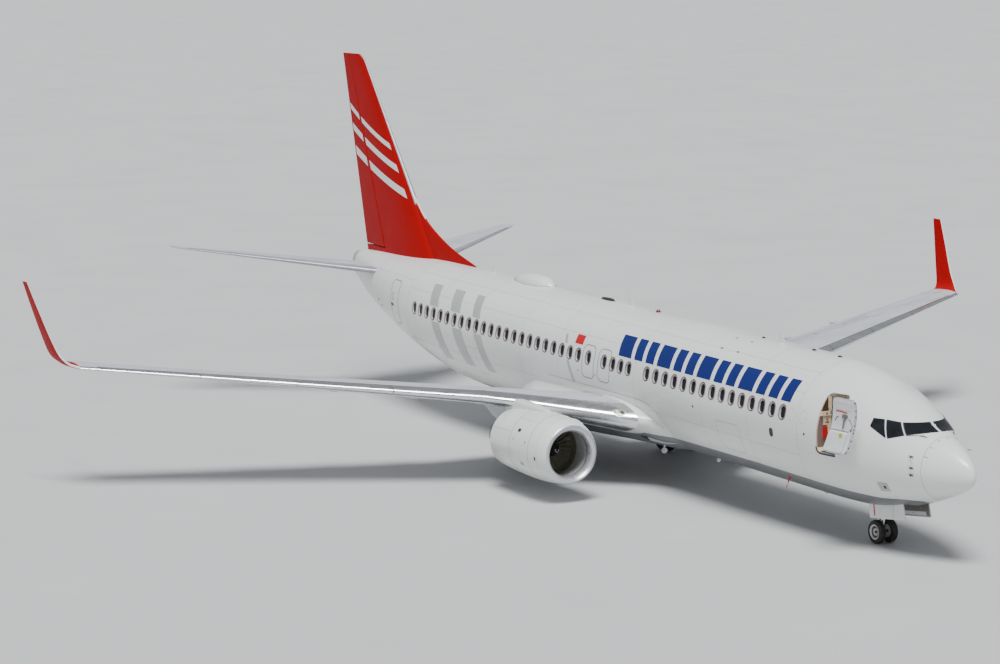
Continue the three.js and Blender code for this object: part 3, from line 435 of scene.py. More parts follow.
def cut(piece, build):
    """Cuts what was built out of a piece, which takes over its finishes on the cut faces."""
    cutter = build.made()
    step = piece.modifiers.new("cut", "BOOLEAN")
    step.operation = "DIFFERENCE"
    step.object = cutter
    step.solver = "MANIFOLD"
    step.material_mode = "TRANSFER"
    applied = bpy.data.meshes.new_from_object(piece.evaluated_get(bpy.context.evaluated_depsgraph_get()))
    piece.modifiers.clear()
    piece.data = applied
    cutter_mesh = cutter.data
    bpy.data.objects.remove(cutter)
    bpy.data.meshes.remove(cutter_mesh)
    smooth(applied, SHARP_ANGLE)


def rounded(width, height, radius, segments):
    """The outline of a rectangle with round corners, about its centre."""
    outline = []
    for corner, (sx, sy) in enumerate([(1, 1), (-1, 1), (-1, -1), (1, -1)]):
        for k in range(segments + 1):
            angle = math.pi / 2 * (corner + k / segments)
            outline.append((sx * (width / 2 - radius) + radius * math.cos(angle),
                            sy * (height / 2 - radius) + radius * math.sin(angle)))
    return outline


def outline_with_sides(outline, parts, longest=200):
    """An outline whose long straight sides are divided, so that it can follow a curved skin."""
    found = []
    for a, b in zip(outline, outline[1:] + outline[:1]):
        far = math.hypot(b[0] - a[0], b[1] - a[1]) > longest
        for t in steps(0, 1, parts if far else 1)[:-1]:
            found.append((lerp(a[0], b[0], t), lerp(a[1], b[1], t)))
    return found


def rounded_corners(corners, share=0.06, parts=4):
    """A closed polygon with its corners cut round."""
    found = []
    count = len(corners)
    for k, corner in enumerate(corners):
        before, after = corners[k - 1], corners[(k + 1) % count]
        start = [lerp(corner[i], before[i], share) for i in (0, 1)]
        end = [lerp(corner[i], after[i], share) for i in (0, 1)]
        for t in steps(0, 1, parts):
            first, second = [[lerp(a[i], b[i], t) for i in (0, 1)]
                             for a, b in ((start, corner), (corner, end))]
            found.append(tuple(lerp(first[i], second[i], t) for i in (0, 1)))
    return found


# Fuselage
DOORWAY = {"aft": 4940, "fore": 4160, "sill": 2700, "height": 1650, "corner": 150, "depth": 1100}
NOSE_BAY = {"fore": 2450, "aft": 4400, "half": 400, "roof": 2250}
WINDOW_LEVEL = 375
WINDOW_WIDTH = 270
WINDOW_HEIGHT = 370
WINDOW_CORNER = 125
WINDOW_RECESS = 55
# Window rows: stations of the foremost and the aftmost window, and how many windows there are.
WINDOW_ROWS = rows(["fore", "aft", "count"], [
    [6590, 14070, 15],
    [15150, 16120, 3],
    [18260, 29980, 23],
])
EXIT_WINDOWS = [16650, 17620]
BELLY_LINE = rows(["s", "level"], [
    [1500, -1480], [2300, -1500], [3000, -1570], [4200, -1560], [6400, -1520], [8500, -1500],
    [12000, -1540], [24500, -1800], [28000, -1900], [BODY_LENGTH, 0],
])
BELLY_START = 1700
BELLY_END = 27500
LOWEST_BELLY_ANGLE = math.pi * 0.975
# Faces of one side of a body ring over the belly line and under it.
SIDE_FACES = 42
BELLY_FACES = 12
NOSE_END = 7000
TAPER_START = 24500
# The outlet in the tail cone: distance aft of the body's end and radius.
TAIL_OUTLET = [(-700, 120), (-60, 185), (60, 215)]
SEAM_LIFT = 1.5
RING_SEAM_WIDTH = 9
LONG_SEAM_WIDTH = 8
RING_SEAMS = [5840, 8380, 10920, 14780, 19530, 22070, 25300, 28100, 30700, 34100, TAIL_CONE_SEAM]
LONG_SEAMS = rows(["start", "end", "level"], [
    [5840, 30700, 1560],
    [5840, 30700, 1020],
    [5840, 30700, -760],
    [30700, 36500, 1250],
])
# Outlines of exits, doors, a door's window, cargo doors and closed windows, on the given sides.
BOTH_SIDES = [1, -1]
LEFT_SIDE = [1]
RIGHT_SIDE = [-1]
OUTLINES = rows(["sides", "s", "level", "width", "height", "corner", "parts", "line", "finish"], [
    [BOTH_SIDES, 17600, 245, 730, 1030, 190, 6, 26, 2],
    [BOTH_SIDES, 16620, 245, 730, 1030, 190, 6, 26, 2],
    [BOTH_SIDES, 31960, 315, 740, 1560, 160, 6, 30, 2],
    [BOTH_SIDES, 32104, 515, 180, 240, 85, 5, 24, 2],
    [RIGHT_SIDE, 9500, -850, 1220, 880, 130, 6, 14, 0],
    [RIGHT_SIDE, 25400, -850, 1220, 880, 130, 6, 14, 0],
    [LEFT_SIDE, 4520, 430, 880, 1860, 170, 6, 30, 2],
    [BOTH_SIDES, 6120, WINDOW_LEVEL, WINDOW_WIDTH, WINDOW_HEIGHT, WINDOW_CORNER, 6, 8, 0],
    [BOTH_SIDES, 5590, WINDOW_LEVEL, WINDOW_WIDTH, WINDOW_HEIGHT, WINDOW_CORNER, 6, 8, 0],
])
DOOR_HANDLE = {"s": 32189, "level": 211, "length": 250, "tall": 90}
RADOME_STRAPS = {"s": RADOME_SEAM - 70, "reach": 1.1, "count": 7, "length": 110, "tall": 12}
WINDOW_FRAME = {"grow": 50, "corner": 150, "width": 48, "lift": 1.4}


def window_stations():
    stations = []
    for row in WINDOW_ROWS:
        stations += steps(row["fore"], row["aft"], row["count"] - 1)
    return stations + EXIT_WINDOWS


def body_stations():
    nose = [NOSE_END * (k / 52) ** 2 for k in range(2, 52)]
    return [1] + nose + steps(NOSE_END, TAPER_START, 44) + steps(TAPER_START, BODY_LENGTH, 54)[1:]


def belly_angle(s):
    level = between(BELLY_LINE, "s", max(s, BELLY_LINE[0]["s"]))["level"]
    return min(skin_angle(s, level, 1), LOWEST_BELLY_ANGLE)


def body_ring(s):
    """Points from the crown down the left side to the keel and up the right side."""
    edge = belly_angle(s)
    left = steps(0, edge, SIDE_FACES) + steps(edge, math.pi, BELLY_FACES)[1:]
    return [skin(s, a) for a in left] + [skin(s, -a) for a in reversed(left[1:-1])]


def window_cutter(cutter, s, side):
    """A window's hole, which goes straight in and ends on the pane."""
    point, normal = on_skin(s, WINDOW_LEVEL, side)
    ahead = Vector((1, 0, 0))
    up = normal.cross(ahead).normalized()
    up = up if up.z > 0 else -up
    outline = rounded(WINDOW_WIDTH, WINDOW_HEIGHT, WINDOW_CORNER, 6)
    rings = [[point + normal * depth / 1000 + (ahead * x + up * y) / 1000 for x, y in outline]
             for depth in (90, -WINDOW_RECESS)]
    cutter.loft(rings[::-1], 0, capped=False)
    count = len(outline)
    base = len(cutter.points) - 2 * count
    cutter.faces += [tuple(base + k for k in range(count)), tuple(base + count + k for k in range(count))]
    cutter.indices += [1, 0]


def build_body():
    stations = body_stations()
    skin_build = Build("body_skin", WHITE, BELLY_GREY_AND_SHADE, BARREL_GREY)

    def face_material(i, j):
        s = stations[i]
        if s >= TAIL_CONE_SEAM:
            return 2
        low = SIDE_FACES <= j < SIDE_FACES + 2 * BELLY_FACES
        return 1 if low and BELLY_START < s < BELLY_END else 0

    skin_build.loft([body_ring(s) for s in stations], index_of=face_material)
    body = skin_build.done("airframe", "radome", "fuselage_nose", "fuselage_forward", "fuselage_centre",
                           "fuselage_aft", "tail_cone", "apu_exhaust", slot="white_paint")

    cutter = Build("body_cutter", REVEAL, GLASS, LINING, CABIN_PANEL, BARREL_GREY, GAP_DARK)
    for side in SIDES.values():
        for s in window_stations():
            window_cutter(cutter, s, side)
    width, height = DOORWAY["aft"] - DOORWAY["fore"], DOORWAY["height"]
    centre_s = (DOORWAY["aft"] + DOORWAY["fore"]) / 2
    outline = rounded(width, height, DOORWAY["corner"], 8)
    centre_z = (DOORWAY["sill"] + height / 2) / 1000
    inner = -(CABIN_RADIUS - DOORWAY["depth"]) / 1000
    lining_y, outside_y = -1.3, -2.6
    rings = [[Vector((station_x(centre_s) + x / 1000, y, centre_z + z / 1000)) for x, z in outline]
             for y in (inner, lining_y, outside_y)]
    cutter.loft(rings, index_of=lambda i, j: 3 if i == 0 else 2)
    low = Vector((station_x(NOSE_BAY["aft"]), -NOSE_BAY["half"] / 1000, 0.5))
    high = Vector((station_x(NOSE_BAY["fore"]), NOSE_BAY["half"] / 1000, NOSE_BAY["roof"] / 1000))
    cutter.block(low, high, 4)
    tail_z = (axis_height(BODY_LENGTH) + BODY[-1]["mid"]) / 1000
    cutter.lathe(TAIL_OUTLET, (station_x(BODY_LENGTH), 0, tail_z), (-1, 0, 0), 40, 5)
    cut(body, cutter)


def seam_ring(build, s, width):
    """A line round the body at a station."""
    path = [(skin(s, a) + skin_normal(s, a) * SEAM_LIFT / 1000, skin_normal(s, a))
            for a in steps(-math.pi, math.pi, 96)]
    build.ribbon(path, width)


def seam_along(build, start, end, level, side, width):
    path = [on_skin(s, level, side, SEAM_LIFT) for s in steps(start, end, int((end - start) / 250))]
    build.ribbon(path, width)


def panel_outline(build, centre_s, level, side, outline, width, index, lift=2.0):
    path = []
    for ahead, up in outline_with_sides(outline, 12):
        path.append(on_skin(centre_s - ahead, level + up, side, lift))
    build.ribbon(path, width, index, closed=True)


def skin_patch(build, centre_s, level, side, outline):
    """A filled marking on the skin, from its outline of (ahead, up) offsets."""
    sheets = []
    for share in steps(1, 0.001, 4):
        sheets.append([on_skin(centre_s - x * share, level + z * share, side, 2)[0] for x, z in outline])
    build.loft(sheets, capped=False)


def skin_quad(build, corners, side, lift=2.0, across=8, down=4):
    """A marking between four (station, level) corners: two along its top, then two along its foot."""
    top_a, top_b, low_a, low_b = corners
    patch = []
    for v in steps(0, 1, down):
        line = []
        for u in steps(0, 1, across):
            s = lerp(lerp(top_a[0], top_b[0], u), lerp(low_a[0], low_b[0], u), v)
            level = lerp(lerp(top_a[1], top_b[1], u), lerp(low_a[1], low_b[1], u), v)
            line.append(on_skin(s, level, side, lift)[0])
        patch.append(line)
    build.grid(patch)


def skin_spot(build, s, angle, length, tall, index, lift=2.5):
    """A four-sided marking about a station and an angle, its sizes measured along the skin."""
    half = tall / 2 / body_values(s)[0]
    build.grid([[skin(p, a) + skin_normal(p, a) * lift / 1000 for a in steps(angle - half, angle + half, 5)]
                for p in steps(s - length / 2, s + length / 2, 4)], index)


def build_body_seams():
    seams = Build("body_seams", SEAM, GAP_DARK)
    seam_ring(seams, RADOME_SEAM, 16)
    straps = RADOME_STRAPS
    for angle in steps(-straps["reach"], straps["reach"], straps["count"] - 1):
        skin_spot(seams, straps["s"], angle, straps["length"], straps["tall"], 1)
    for s in RING_SEAMS:
        seam_ring(seams, s, RING_SEAM_WIDTH)
    for side in SIDES.values():
        for row in LONG_SEAMS:
            seam_along(seams, row["start"], row["end"], row["level"], side, LONG_SEAM_WIDTH)
    seams.done("airframe", slot="grey_paint")

    edges = Build("door_outlines", SEAM, GAP_DARK, DOOR_LINE)
    for row in OUTLINES:
        outline = rounded(row["width"], row["height"], row["corner"], row["parts"])
        for side in row["sides"]:
            panel_outline(edges, row["s"], row["level"], side, outline, row["line"], row["finish"])
    handle = DOOR_HANDLE
    for side in SIDES.values():
        angle = skin_angle(handle["s"], handle["level"], side)
        skin_spot(edges, handle["s"], angle, handle["length"], handle["tall"], 1)
    edges.done("airframe", slot="grey_paint")

    frames = Build("window_frames", FRAME_ROSE)
    grow = WINDOW_FRAME["grow"]
    outline = rounded(WINDOW_WIDTH + grow, WINDOW_HEIGHT + grow, WINDOW_FRAME["corner"], 6)
    width, lift = WINDOW_FRAME["width"], WINDOW_FRAME["lift"]
    for side in SIDES.values():
        for s in window_stations():
            panel_outline(frames, s, WINDOW_LEVEL, side, outline, width, 0, lift)
    frames.done("airframe", slot="grey_paint")


# Markings: plain bars, bands and a red plate. The bands slant straight and leave the window line free.
BANDS = rows(["s", "width", "top", "low"], [
    [29100, 620, 1330, -1120],
    [27500, 700, 1330, -1120],
    [25900, 520, 1330, -1120],
    [19330, 150, 909, -560],
])
BAND_SPLIT = (640, 110)
BAND_LEAN = 0.5
# The bars follow in a row, every third one wide, and lean more the further aft they stand.
BARS = {"start": 6330, "end": 16200, "top": 1300, "low": 690, "shift": -60, "lean": 300 / 9900,
        "narrow": 470, "wide": 760, "gap": 190}
PLATE = {"fore": 18115, "aft": 18610, "top": 988, "low": 705}


def build_markings():
    bars = Build("cabin_bars", BLUE)
    for side in SIDES.values():
        s, width, k = BARS["start"], BARS["narrow"], 0
        while s + width < BARS["end"]:
            top_s = s + BARS["shift"] + BARS["lean"] * (s - BARS["start"])
            corners = [(top_s, BARS["top"]), (top_s + width, BARS["top"])]
            corners += [(s, BARS["low"]), (s + width, BARS["low"])]
            skin_quad(bars, corners, side, lift=3.4, across=4, down=8)
            s += width + BARS["gap"]
            k += 1
            width = BARS["narrow"] if k % 3 else BARS["wide"]
    bars.done("airframe")

    plates = Build("red_plates", RED_MARK)
    for side in SIDES.values():
        skin_quad(plates, [(s, level) for level in (PLATE["top"], PLATE["low"])
                           for s in (PLATE["fore"], PLATE["aft"])], side)
    plates.done("airframe", slot="red_paint")

    bands = Build("grey_bands", BAND_GREY)
    for side in SIDES.values():
        for row in BANDS:
            for high, low in ((row["top"], BAND_SPLIT[0]), (BAND_SPLIT[1], row["low"])):
                a, b = [row["s"] - BAND_LEAN * (row["top"] - level) for level in (high, low)]
                corners = [(a - row["width"], high), (a, high), (b - row["width"], low), (b, low)]
                skin_quad(bands, corners, side, across=4, down=10)
    bands.done("airframe", slot="grey_paint")


# Wing, tailplane and fin
SURFACE_COLUMNS = ["v", "leS", "teS", "leZ", "teZ", "thickness"]
WING = rows(SURFACE_COLUMNS, [
    [1300, 13650, 21080, 2050, 1970, 0.15],
    [1950, 14250, 21090, 2170, 2040, 0.15],
    [4900, 16700, 21140, 2690, 2480, 0.132],
    [5800, 17215, 21150, 2830, 2610, 0.128],
    [WING_TIP_Y, 23000, 24500, WING_TIP_Z, WING_TIP_Z + WING_TIP_RISE, 0.1],
])
TAILPLANE = rows(SURFACE_COLUMNS, [
    [350, 33925, 37577, 4668, 4791, 0.1],
    [6900, 38510, 39380, 5548, 5568, 0.09],
    [7190, 38810, LENGTH, 5587, 5602, 0.07],
])
FIN = rows(SURFACE_COLUMNS, [
    [5050, 31140, 37090, 5050, 5050, 0.11],
    [7300, 33000.8, 37683.4, 7300, 7300, 0.10254],
    [12350, 37177.4, 39015.4, 12350, 12350, 0.08581],
    [12480, 37284.9, 39049.7, 12480, 12480, 0.08538],
    [FIN_TOP, 37380, 39080, FIN_TOP, FIN_TOP, 0.085],
])
DORSAL = rows(["s", "edge", "half"], [
    [28540, 5470, 30],
    [30240, 5900, 75],
    [31610, 6420, 110],
    [32380, 6830, 130],
    [33080, 7400, 150],
    [33600, 7830, 150],
])
WINGLET = rows(["y", "z", "leS", "teS", "tilt", "thickness"], [
    [WING_TIP_Y, WING_TIP_Z, 23000, 24500, 0, 0.1],
    [17200, 3985, 23330, 24640, 30, 0.095],
    [17370, 4200, 23680, 24790, 56, 0.09],
    [17470, 4560, 24020, 24960, 70, 0.085],
    [17700, 5600, 24700, 25380, 77, 0.08],
    [17865, 6430, 25230, 25690, 80, 0.075],
])
AILERON = {"from": 12700, "to": 16300, "hinge": 0.76, "end_gap": 30, "open_end": False}
ELEVATOR = {"from": 900, "to": 6900, "hinge": 0.7, "end_gap": 35, "open_end": False}
RUDDER = {"from": 5470, "to": FIN_TOP, "hinge": 0.68, "end_gap": 40, "open_end": True}
TRACK_FAIRINGS = rows(["y", "half"], [[6700, 190], [9100, 170], [11500, 150]])
SLAT_CUTS = [5900, 8350, 11000, 13700, 16500]
SPOILERS = rows(["from", "to", "ahead", "behind"], [
    [2500, 3900, 0.6, 0.735],
    [6000, 7700, 0.58, 0.715],
    [7760, 9400, 0.58, 0.715],
    [9460, 11000, 0.58, 0.715],
    [11060, 12300, 0.58, 0.715],
])
WING_CAMBER = 0.012
LINE_LIFT = 0.0025
# A hinged surface's round nose and the cove round it, in metres and as a factor of its radius.
HINGE_SINK = 0.002
COVE_FACTOR = 1.12
COVE_GAP = 0.008
COVE_REACH = math.radians(70)
COVE_EDGE = math.radians(75)
HINGED_STEP = 900
# Lengths of the fixed wing between two chord fractions. The polished edge reaches back to "front".
WING_ZONES = rows(["from", "to", "ahead", "behind", "finish", "front"], [
    [1300, 1990, 0, 1, 2, 0],
    [1990, 2350, 0, 1, 0, 0.11],
    [2350, 5600, 0, 0.74, 0, 0.11],
    [5600, 5680, 0, 1, 0, 0.11],
    [5680, 5900, 0, 0.72, 0, 0.11],
    [5900, 12400, 0.1, 0.72, 0, 0],
    [12400, AILERON["from"], 0.1, 1, 0, 0],
    [AILERON["to"], 16500, 0.1, 1, 0, 0],
    [16500, WING_TIP_Y, 0, 1, 0, 0.06],
])
SLAT = {"end_gap": 8, "behind": 0.097}
FLAPS = rows(["from", "to", "ahead"], [[2360, 5590, 0.745], [5690, 12390, 0.725]])
# Lines along the upper side of the wing, then lines across both of its sides.
WING_LINES = rows(["from", "to", "along", "width", "finish"], [
    [2350, 5600, 0.743, 22, 0],
    [5680, 12400, 0.722, 22, 0],
    [5900, 16500, 0.1, 16, 0],
    [2000, 16900, 0.16, 8, 1],
    [2000, 16900, 0.5, 8, 1],
])
WING_RIBS = [3300, 4600, 5640, 7000, 8800, 10600, 12500, 14400, 16400]
ROOT_SEAL = {"v": 2050, "ahead": 0.3, "behind": 0.7, "width": 90}
WINGLET_EDGE = 0.05
TAIL_EDGE = 0.05
TAIL_LINES = rows(["from", "to", "along", "width", "finish"], [
    [1000, 6800, 0.09, 34, 0],
    [1000, 6800, 0.6, 8, 1],
    [1500, 3900, 0.86, 12, 0],
])
TAIL_RIBS = [2400, 3900, 5400]
FIN_EDGE = {"share": 0.012, "from": 7300}
FIN_CORNER = {"low": 12350, "back": 0.26, "reach": 0.4}
DORSAL_FOOT = 4950
DORSAL_STRIP = {"fore": 32350, "aft": 33590, "rise": 8, "radius": 34}
# White bars on the fin and rudder: level at the leading edge and thickness. They rise going aft.
FIN_BARS = rows(["level", "thick"], [[7350, 330], [8250, 280], [9050, 230]])
FIN_BAR_RISE = 1500
FIN_BAR_PIECES = rows(["name", "body", "ahead", "behind"], [
    ["fin_bars", "airframe", 0.08, 0.655],
    ["rudder_bars", "rudder_body", 0.715, 0.97],
])


def half_thickness(along):
    """The usual four-digit aerofoil: half its thickness at a chord fraction, for a thickness of one."""
    x = clamp(along, 0, 1)
    return 5 * (0.2969 * math.sqrt(x) - 0.126 * x - 0.3516 * x ** 2 + 0.2843 * x ** 3 - 0.1015 * x ** 4)


class Section:
    """One section of a wing, tailplane or fin."""

    def __init__(self, edge, rear, up, thickness, camber):
        self.edge, self.rear, self.up = Vector(edge) / 1000, Vector(rear) / 1000, Vector(up)
        self.thickness, self.camber = thickness, camber
        self.chord = (self.rear - self.edge).length

    def point(self, along, height=0.0):
        """A point at a fraction of the chord and a height over the camber line in metres."""
        lift = self.camber * 4 * along * (1 - along) * self.chord + height
        return self.edge.lerp(self.rear, along) + self.up * lift

    def skin(self, along):
        return half_thickness(along) * self.thickness * self.chord

    def upper(self, along, lift=0.0):
        return self.point(along, self.skin(along) + lift)

    def lower(self, along, lift=0.0):
        return self.point(along, -self.skin(along) - lift)


class Surface:
    """A wing, tailplane or fin: a table of sections along its span."""

    def __init__(self, table, side, camber=0.0, upright=False):
        self.table, self.side, self.camber, self.upright = table, side, camber, upright

    def section(self, v):
        row = between(self.table, "v", v)
        middle = 0 if self.upright else v * self.side
        up = (0, 1, 0) if self.upright else (0, 0, 1)
        edge = (station_x(row["leS"]) * 1000, middle, row["leZ"])
        rear = (station_x(row["teS"]) * 1000, middle, row["teZ"])
        return Section(edge, rear, up, row["thickness"], self.camber)

    def spans(self, start, end, step=700):
        """Span places from start to end, no further apart than about one step, with the table's own."""
        inner = [row["v"] for row in self.table if start < row["v"] < end]
        marks = [start] + inner + [end]
        found = [start]
        for a, b in zip(marks, marks[1:]):
            found += steps(a, b, max(1, round((b - a) / step)))[1:]
        return found

    def normal(self, v, along, upper):
        def face(place, share):
            section = self.section(place)
            return section.upper(share) if upper else section.lower(share)

        ahead = face(v, max(along - 0.01, 0)) - face(v, along + 0.01)
        normal = ahead.cross(face(v + 20, along) - face(v - 20, along)).normalized()
        out = Vector(self.section(v).up) * (1 if upper else -1)
        return normal if normal.dot(out) > 0 else -normal


def chord_steps(start, end, count):
    """Chord fractions, close together near the leading edge."""
    a, b = math.sqrt(start), math.sqrt(end)
    return [lerp(a, b, k / count) ** 2 for k in range(count + 1)]


def two_skins(section, alongs):
    """Points of the upper and the lower skin, which share the one on the leading edge."""
    upper = [section.upper(x) for x in alongs]
    lower = [section.lower(x) for x in alongs]
    return upper, lower[1:] if alongs[0] == 0 else lower


def zone_ring(section, alongs):
    upper, lower = two_skins(section, alongs)
    return upper + lower[::-1]


def add_zone(build, surface, start, end, ahead, behind, index=0, front=0.0, count=22):
    """A length of a surface between two span places and two chord fractions, closed all round."""
    alongs = chord_steps(ahead, behind, count)
    rings = [zone_ring(surface.section(v), alongs) for v in surface.spans(start, end)]
    size = len(rings[0])

    def finish(i, j):
        k = j if j < count else size - 1 - j
        return 1 if alongs[min(k, count)] < front else index

    build.loft(rings, index, index_of=finish)


def surface_line(build, surface, path, width, index, upper=True, closed=False):
    """A line on a surface through (span place, chord fraction) pairs."""
    points = []
    pairs = list(zip(path, path[1:] + path[:1])) if closed else list(zip(path, path[1:]))
    for (v0, a0), (v1, a1) in pairs:
        for t in steps(0, 1, 6)[:-1]:
            points.append((lerp(v0, v1, t), lerp(a0, a1, t)))
    if not closed:
        points.append(path[-1])
    line = []
    for v, along in points:
        section = surface.section(v)
        point = section.upper(along, LINE_LIFT) if upper else section.lower(along, LINE_LIFT)
        line.append((point, surface.normal(v, along, upper)))
    build.ribbon(line, width, index, closed=closed)


def surface_spot(build, surface, centre, long_axis, short_axis, index, lift):
    """An oval on a surface's upper side. Centre and axes are (span, chord fraction) pairs."""
    rings = []
    for size in (0.02, 0.5, 1):
        ring = []
        for a in steps(0, 2 * math.pi, 24)[:-1]:
            v, along = [centre[i] + size * (math.cos(a) * long_axis[i] + math.sin(a) * short_axis[i])
                        for i in (0, 1)]
            ring.append(surface.section(v).upper(max(along, 0), lift))
        rings.append(ring)
    build.loft(rings, index, capped=False)


def hinge_radius(section, panel):
    return section.skin(panel["hinge"]) - HINGE_SINK


def round_nose(section, panel, radius, angles):
    """Points round a surface's hinge line, from straight ahead of it at angle nought."""
    hinge = section.point(panel["hinge"])
    back = (section.rear - section.edge).normalized()
    return [hinge - back * radius * math.cos(a) + section.up * radius * math.sin(a) for a in angles]


def hinged_ring(section, panel):
    """The moving surface's section: round ahead of its hinge, then the skins to the trailing edge."""
    nose = round_nose(section, panel, hinge_radius(section, panel), steps(-math.pi / 2, math.pi / 2, 14))
    alongs = [lerp(panel["hinge"], 1, t) for t in (0.05, 0.2, 0.4, 0.6, 0.8, 1)]
    upper, lower = two_skins(section, alongs)
    return nose[7:] + upper + lower[::-1] + nose[:7]


def add_hinged(build, surface, panel):
    end = panel["to"] if panel["open_end"] else panel["to"] - panel["end_gap"]
    spans = surface.spans(panel["from"] + panel["end_gap"], end, HINGED_STEP)
    build.loft([hinged_ring(surface.section(v), panel) for v in spans])


def cove_radius(section, panel):
    return hinge_radius(section, panel) * COVE_FACTOR + COVE_GAP


def cove_end(section, panel):
    """The chord fraction where the fixed skin ends ahead of a hinged surface."""
    return panel["hinge"] - cove_radius(section, panel) / section.chord * math.cos(COVE_EDGE)


def add_cove(build, surface, panel, start_along, front=0.0, front_from=0):
    """The fixed part ahead of a hinged surface, hollowed behind for its round nose."""
    rings = []
    spans = surface.spans(panel["from"], panel["to"], HINGED_STEP)
    angles = steps(COVE_REACH, -COVE_REACH, 8)
    count = 20
    for v in spans:
        section = surface.section(v)
        upper, lower = two_skins(section, chord_steps(start_along, cove_end(section, panel), count))
        hollow = round_nose(section, panel, cove_radius(section, panel), angles)
        rings.append(upper + hollow + lower[::-1])
    size = len(rings[0])
    alongs = chord_steps(start_along, 0.7, count)

    def finish(i, j):
        k = min(j, size - 1 - j)
        return 1 if k < count and alongs[k] < front and spans[i] >= front_from else 0

    build.loft(rings, index_of=finish)


def build_wing(label):
    wing = Surface(WING, SIDES[label], WING_CAMBER)
    skin_build = Build(f"wing_skin_{label}", WING_GREY, POLISHED, WHITE)
    for row in WING_ZONES:
        add_zone(skin_build, wing, *row.values())
    add_cove(skin_build, wing, AILERON, 0.1)
    for track in TRACK_FAIRINGS:
        track_fairing(skin_build, wing, track)
    skin_build.done("airframe", f"wing_{label}", slot="grey_paint")

    slats = Build(f"slats_{label}", POLISHED)
    for start, end in zip(SLAT_CUTS, SLAT_CUTS[1:]):
        add_zone(slats, wing, start + SLAT["end_gap"], end - SLAT["end_gap"], 0, SLAT["behind"], count=16)
    slats.done("airframe", f"slat_{label}", slot="polished_metal")

    flaps = Build(f"flaps_{label}", WING_GREY)
    for row in FLAPS:
        add_zone(flaps, wing, row["from"], row["to"], row["ahead"], 1)
    flaps.done("airframe", f"flap_inboard_{label}", f"flap_outboard_{label}", slot="grey_paint")

    aileron = Build(f"aileron_skin_{label}", WING_GREY)
    add_hinged(aileron, wing, AILERON)
    aileron.done(f"aileron_{label}_body", f"aileron_{label}", slot="grey_paint")
    build_wing_lines(label, wing)


def long_lines(build, surface, table):
    for row in table:
        path = [(row["from"], row["along"]), (row["to"], row["along"])]
        surface_line(build, surface, path, row["width"], row["finish"])


def build_wing_lines(label, wing):
    lines = Build(f"wing_lines_{label}", GAP_DARK, SEAM, BLACK_TRIM)
    for row in SPOILERS:
        ahead, behind = row["ahead"], row["behind"]
        corners = [(row["from"], ahead), (row["to"], ahead), (row["to"], behind), (row["from"], behind)]
        surface_line(lines, wing, corners, 16, 0, closed=True)
    long_lines(lines, wing, WING_LINES)
    for v in WING_RIBS:
        surface_line(lines, wing, [(v, 0.12), (v, 0.56)], 8, 1)
        surface_line(lines, wing, [(v, 0.12), (v, 0.7)], 8, 1, upper=False)
    seal = [(ROOT_SEAL["v"], ROOT_SEAL["ahead"]), (ROOT_SEAL["v"], ROOT_SEAL["behind"])]
    surface_line(lines, wing, seal, ROOT_SEAL["width"], 2)
    lines.done("airframe", slot="grey_paint")


TRACK_SHARES = rows(["along", "size"], [
    [0.5, 0.02], [0.52, 0.25], [0.58, 0.6], [0.66, 0.86], [0.75, 1], [0.86, 0.95], [0.95, 0.8],
    [1.05, 0.52], [1.12, 0.25], [1.17, 0.03],
])


def track_fairing(build, wing, track):
    """A flap track fairing hangs under the wing and ends behind the trailing edge."""
    section = wing.section(track["y"])
    rings = []
    for row in TRACK_SHARES:
        under = -section.skin(row["along"]) * 0.4
        half = track["half"] * row["size"]
        deep = half * 1.7 / 1000
        ring = []
        for a in steps(0, 2 * math.pi, 20)[:-1]:
            place = section.point(row["along"], under - deep * 0.35 + deep * 0.65 * math.cos(a))
            ring.append(Vector((place.x, (wing.side * track["y"] + half * math.sin(a)) / 1000, place.z)))
        rings.append(ring)
    build.loft(rings)


def winglet_section(row, side):
    """A section that leans over. The wing's own rise and camber fade out as it does."""
    tilt = math.radians(row["tilt"])
    fade = max(0, 1 - row["tilt"] / 30)
    return Section((station_x(row["leS"]) * 1000, side * row["y"], row["z"]),
                   (station_x(row["teS"]) * 1000, side * row["y"], row["z"] + WING_TIP_RISE * fade),
                   (0, -side * math.sin(tilt), math.cos(tilt)), row["thickness"], WING_CAMBER * fade)


def build_winglet(label):
    length = path_lengths([(row["y"], row["z"]) for row in WINGLET])
    columns = {c: [row[c] for row in WINGLET] for c in WINGLET[0]}
    count = 22
    alongs = chord_steps(0, 1, count)
    rings = []
    for u in steps(0, length[-1], 26):
        row = {c: curve_value(length, values, u) for c, values in columns.items()}
        rings.append(zone_ring(winglet_section(row, SIDES[label]), alongs))
    size = len(rings[0])

    def finish(i, j):
        k = j if j < count else size - 1 - j
        return 1 if alongs[min(k, count)] < WINGLET_EDGE else 0

    made = Build(f"winglet_skin_{label}", RED, WHITE)
    made.loft(rings, index_of=finish)
    made.done("airframe", f"winglet_{label}", slot="red_paint")


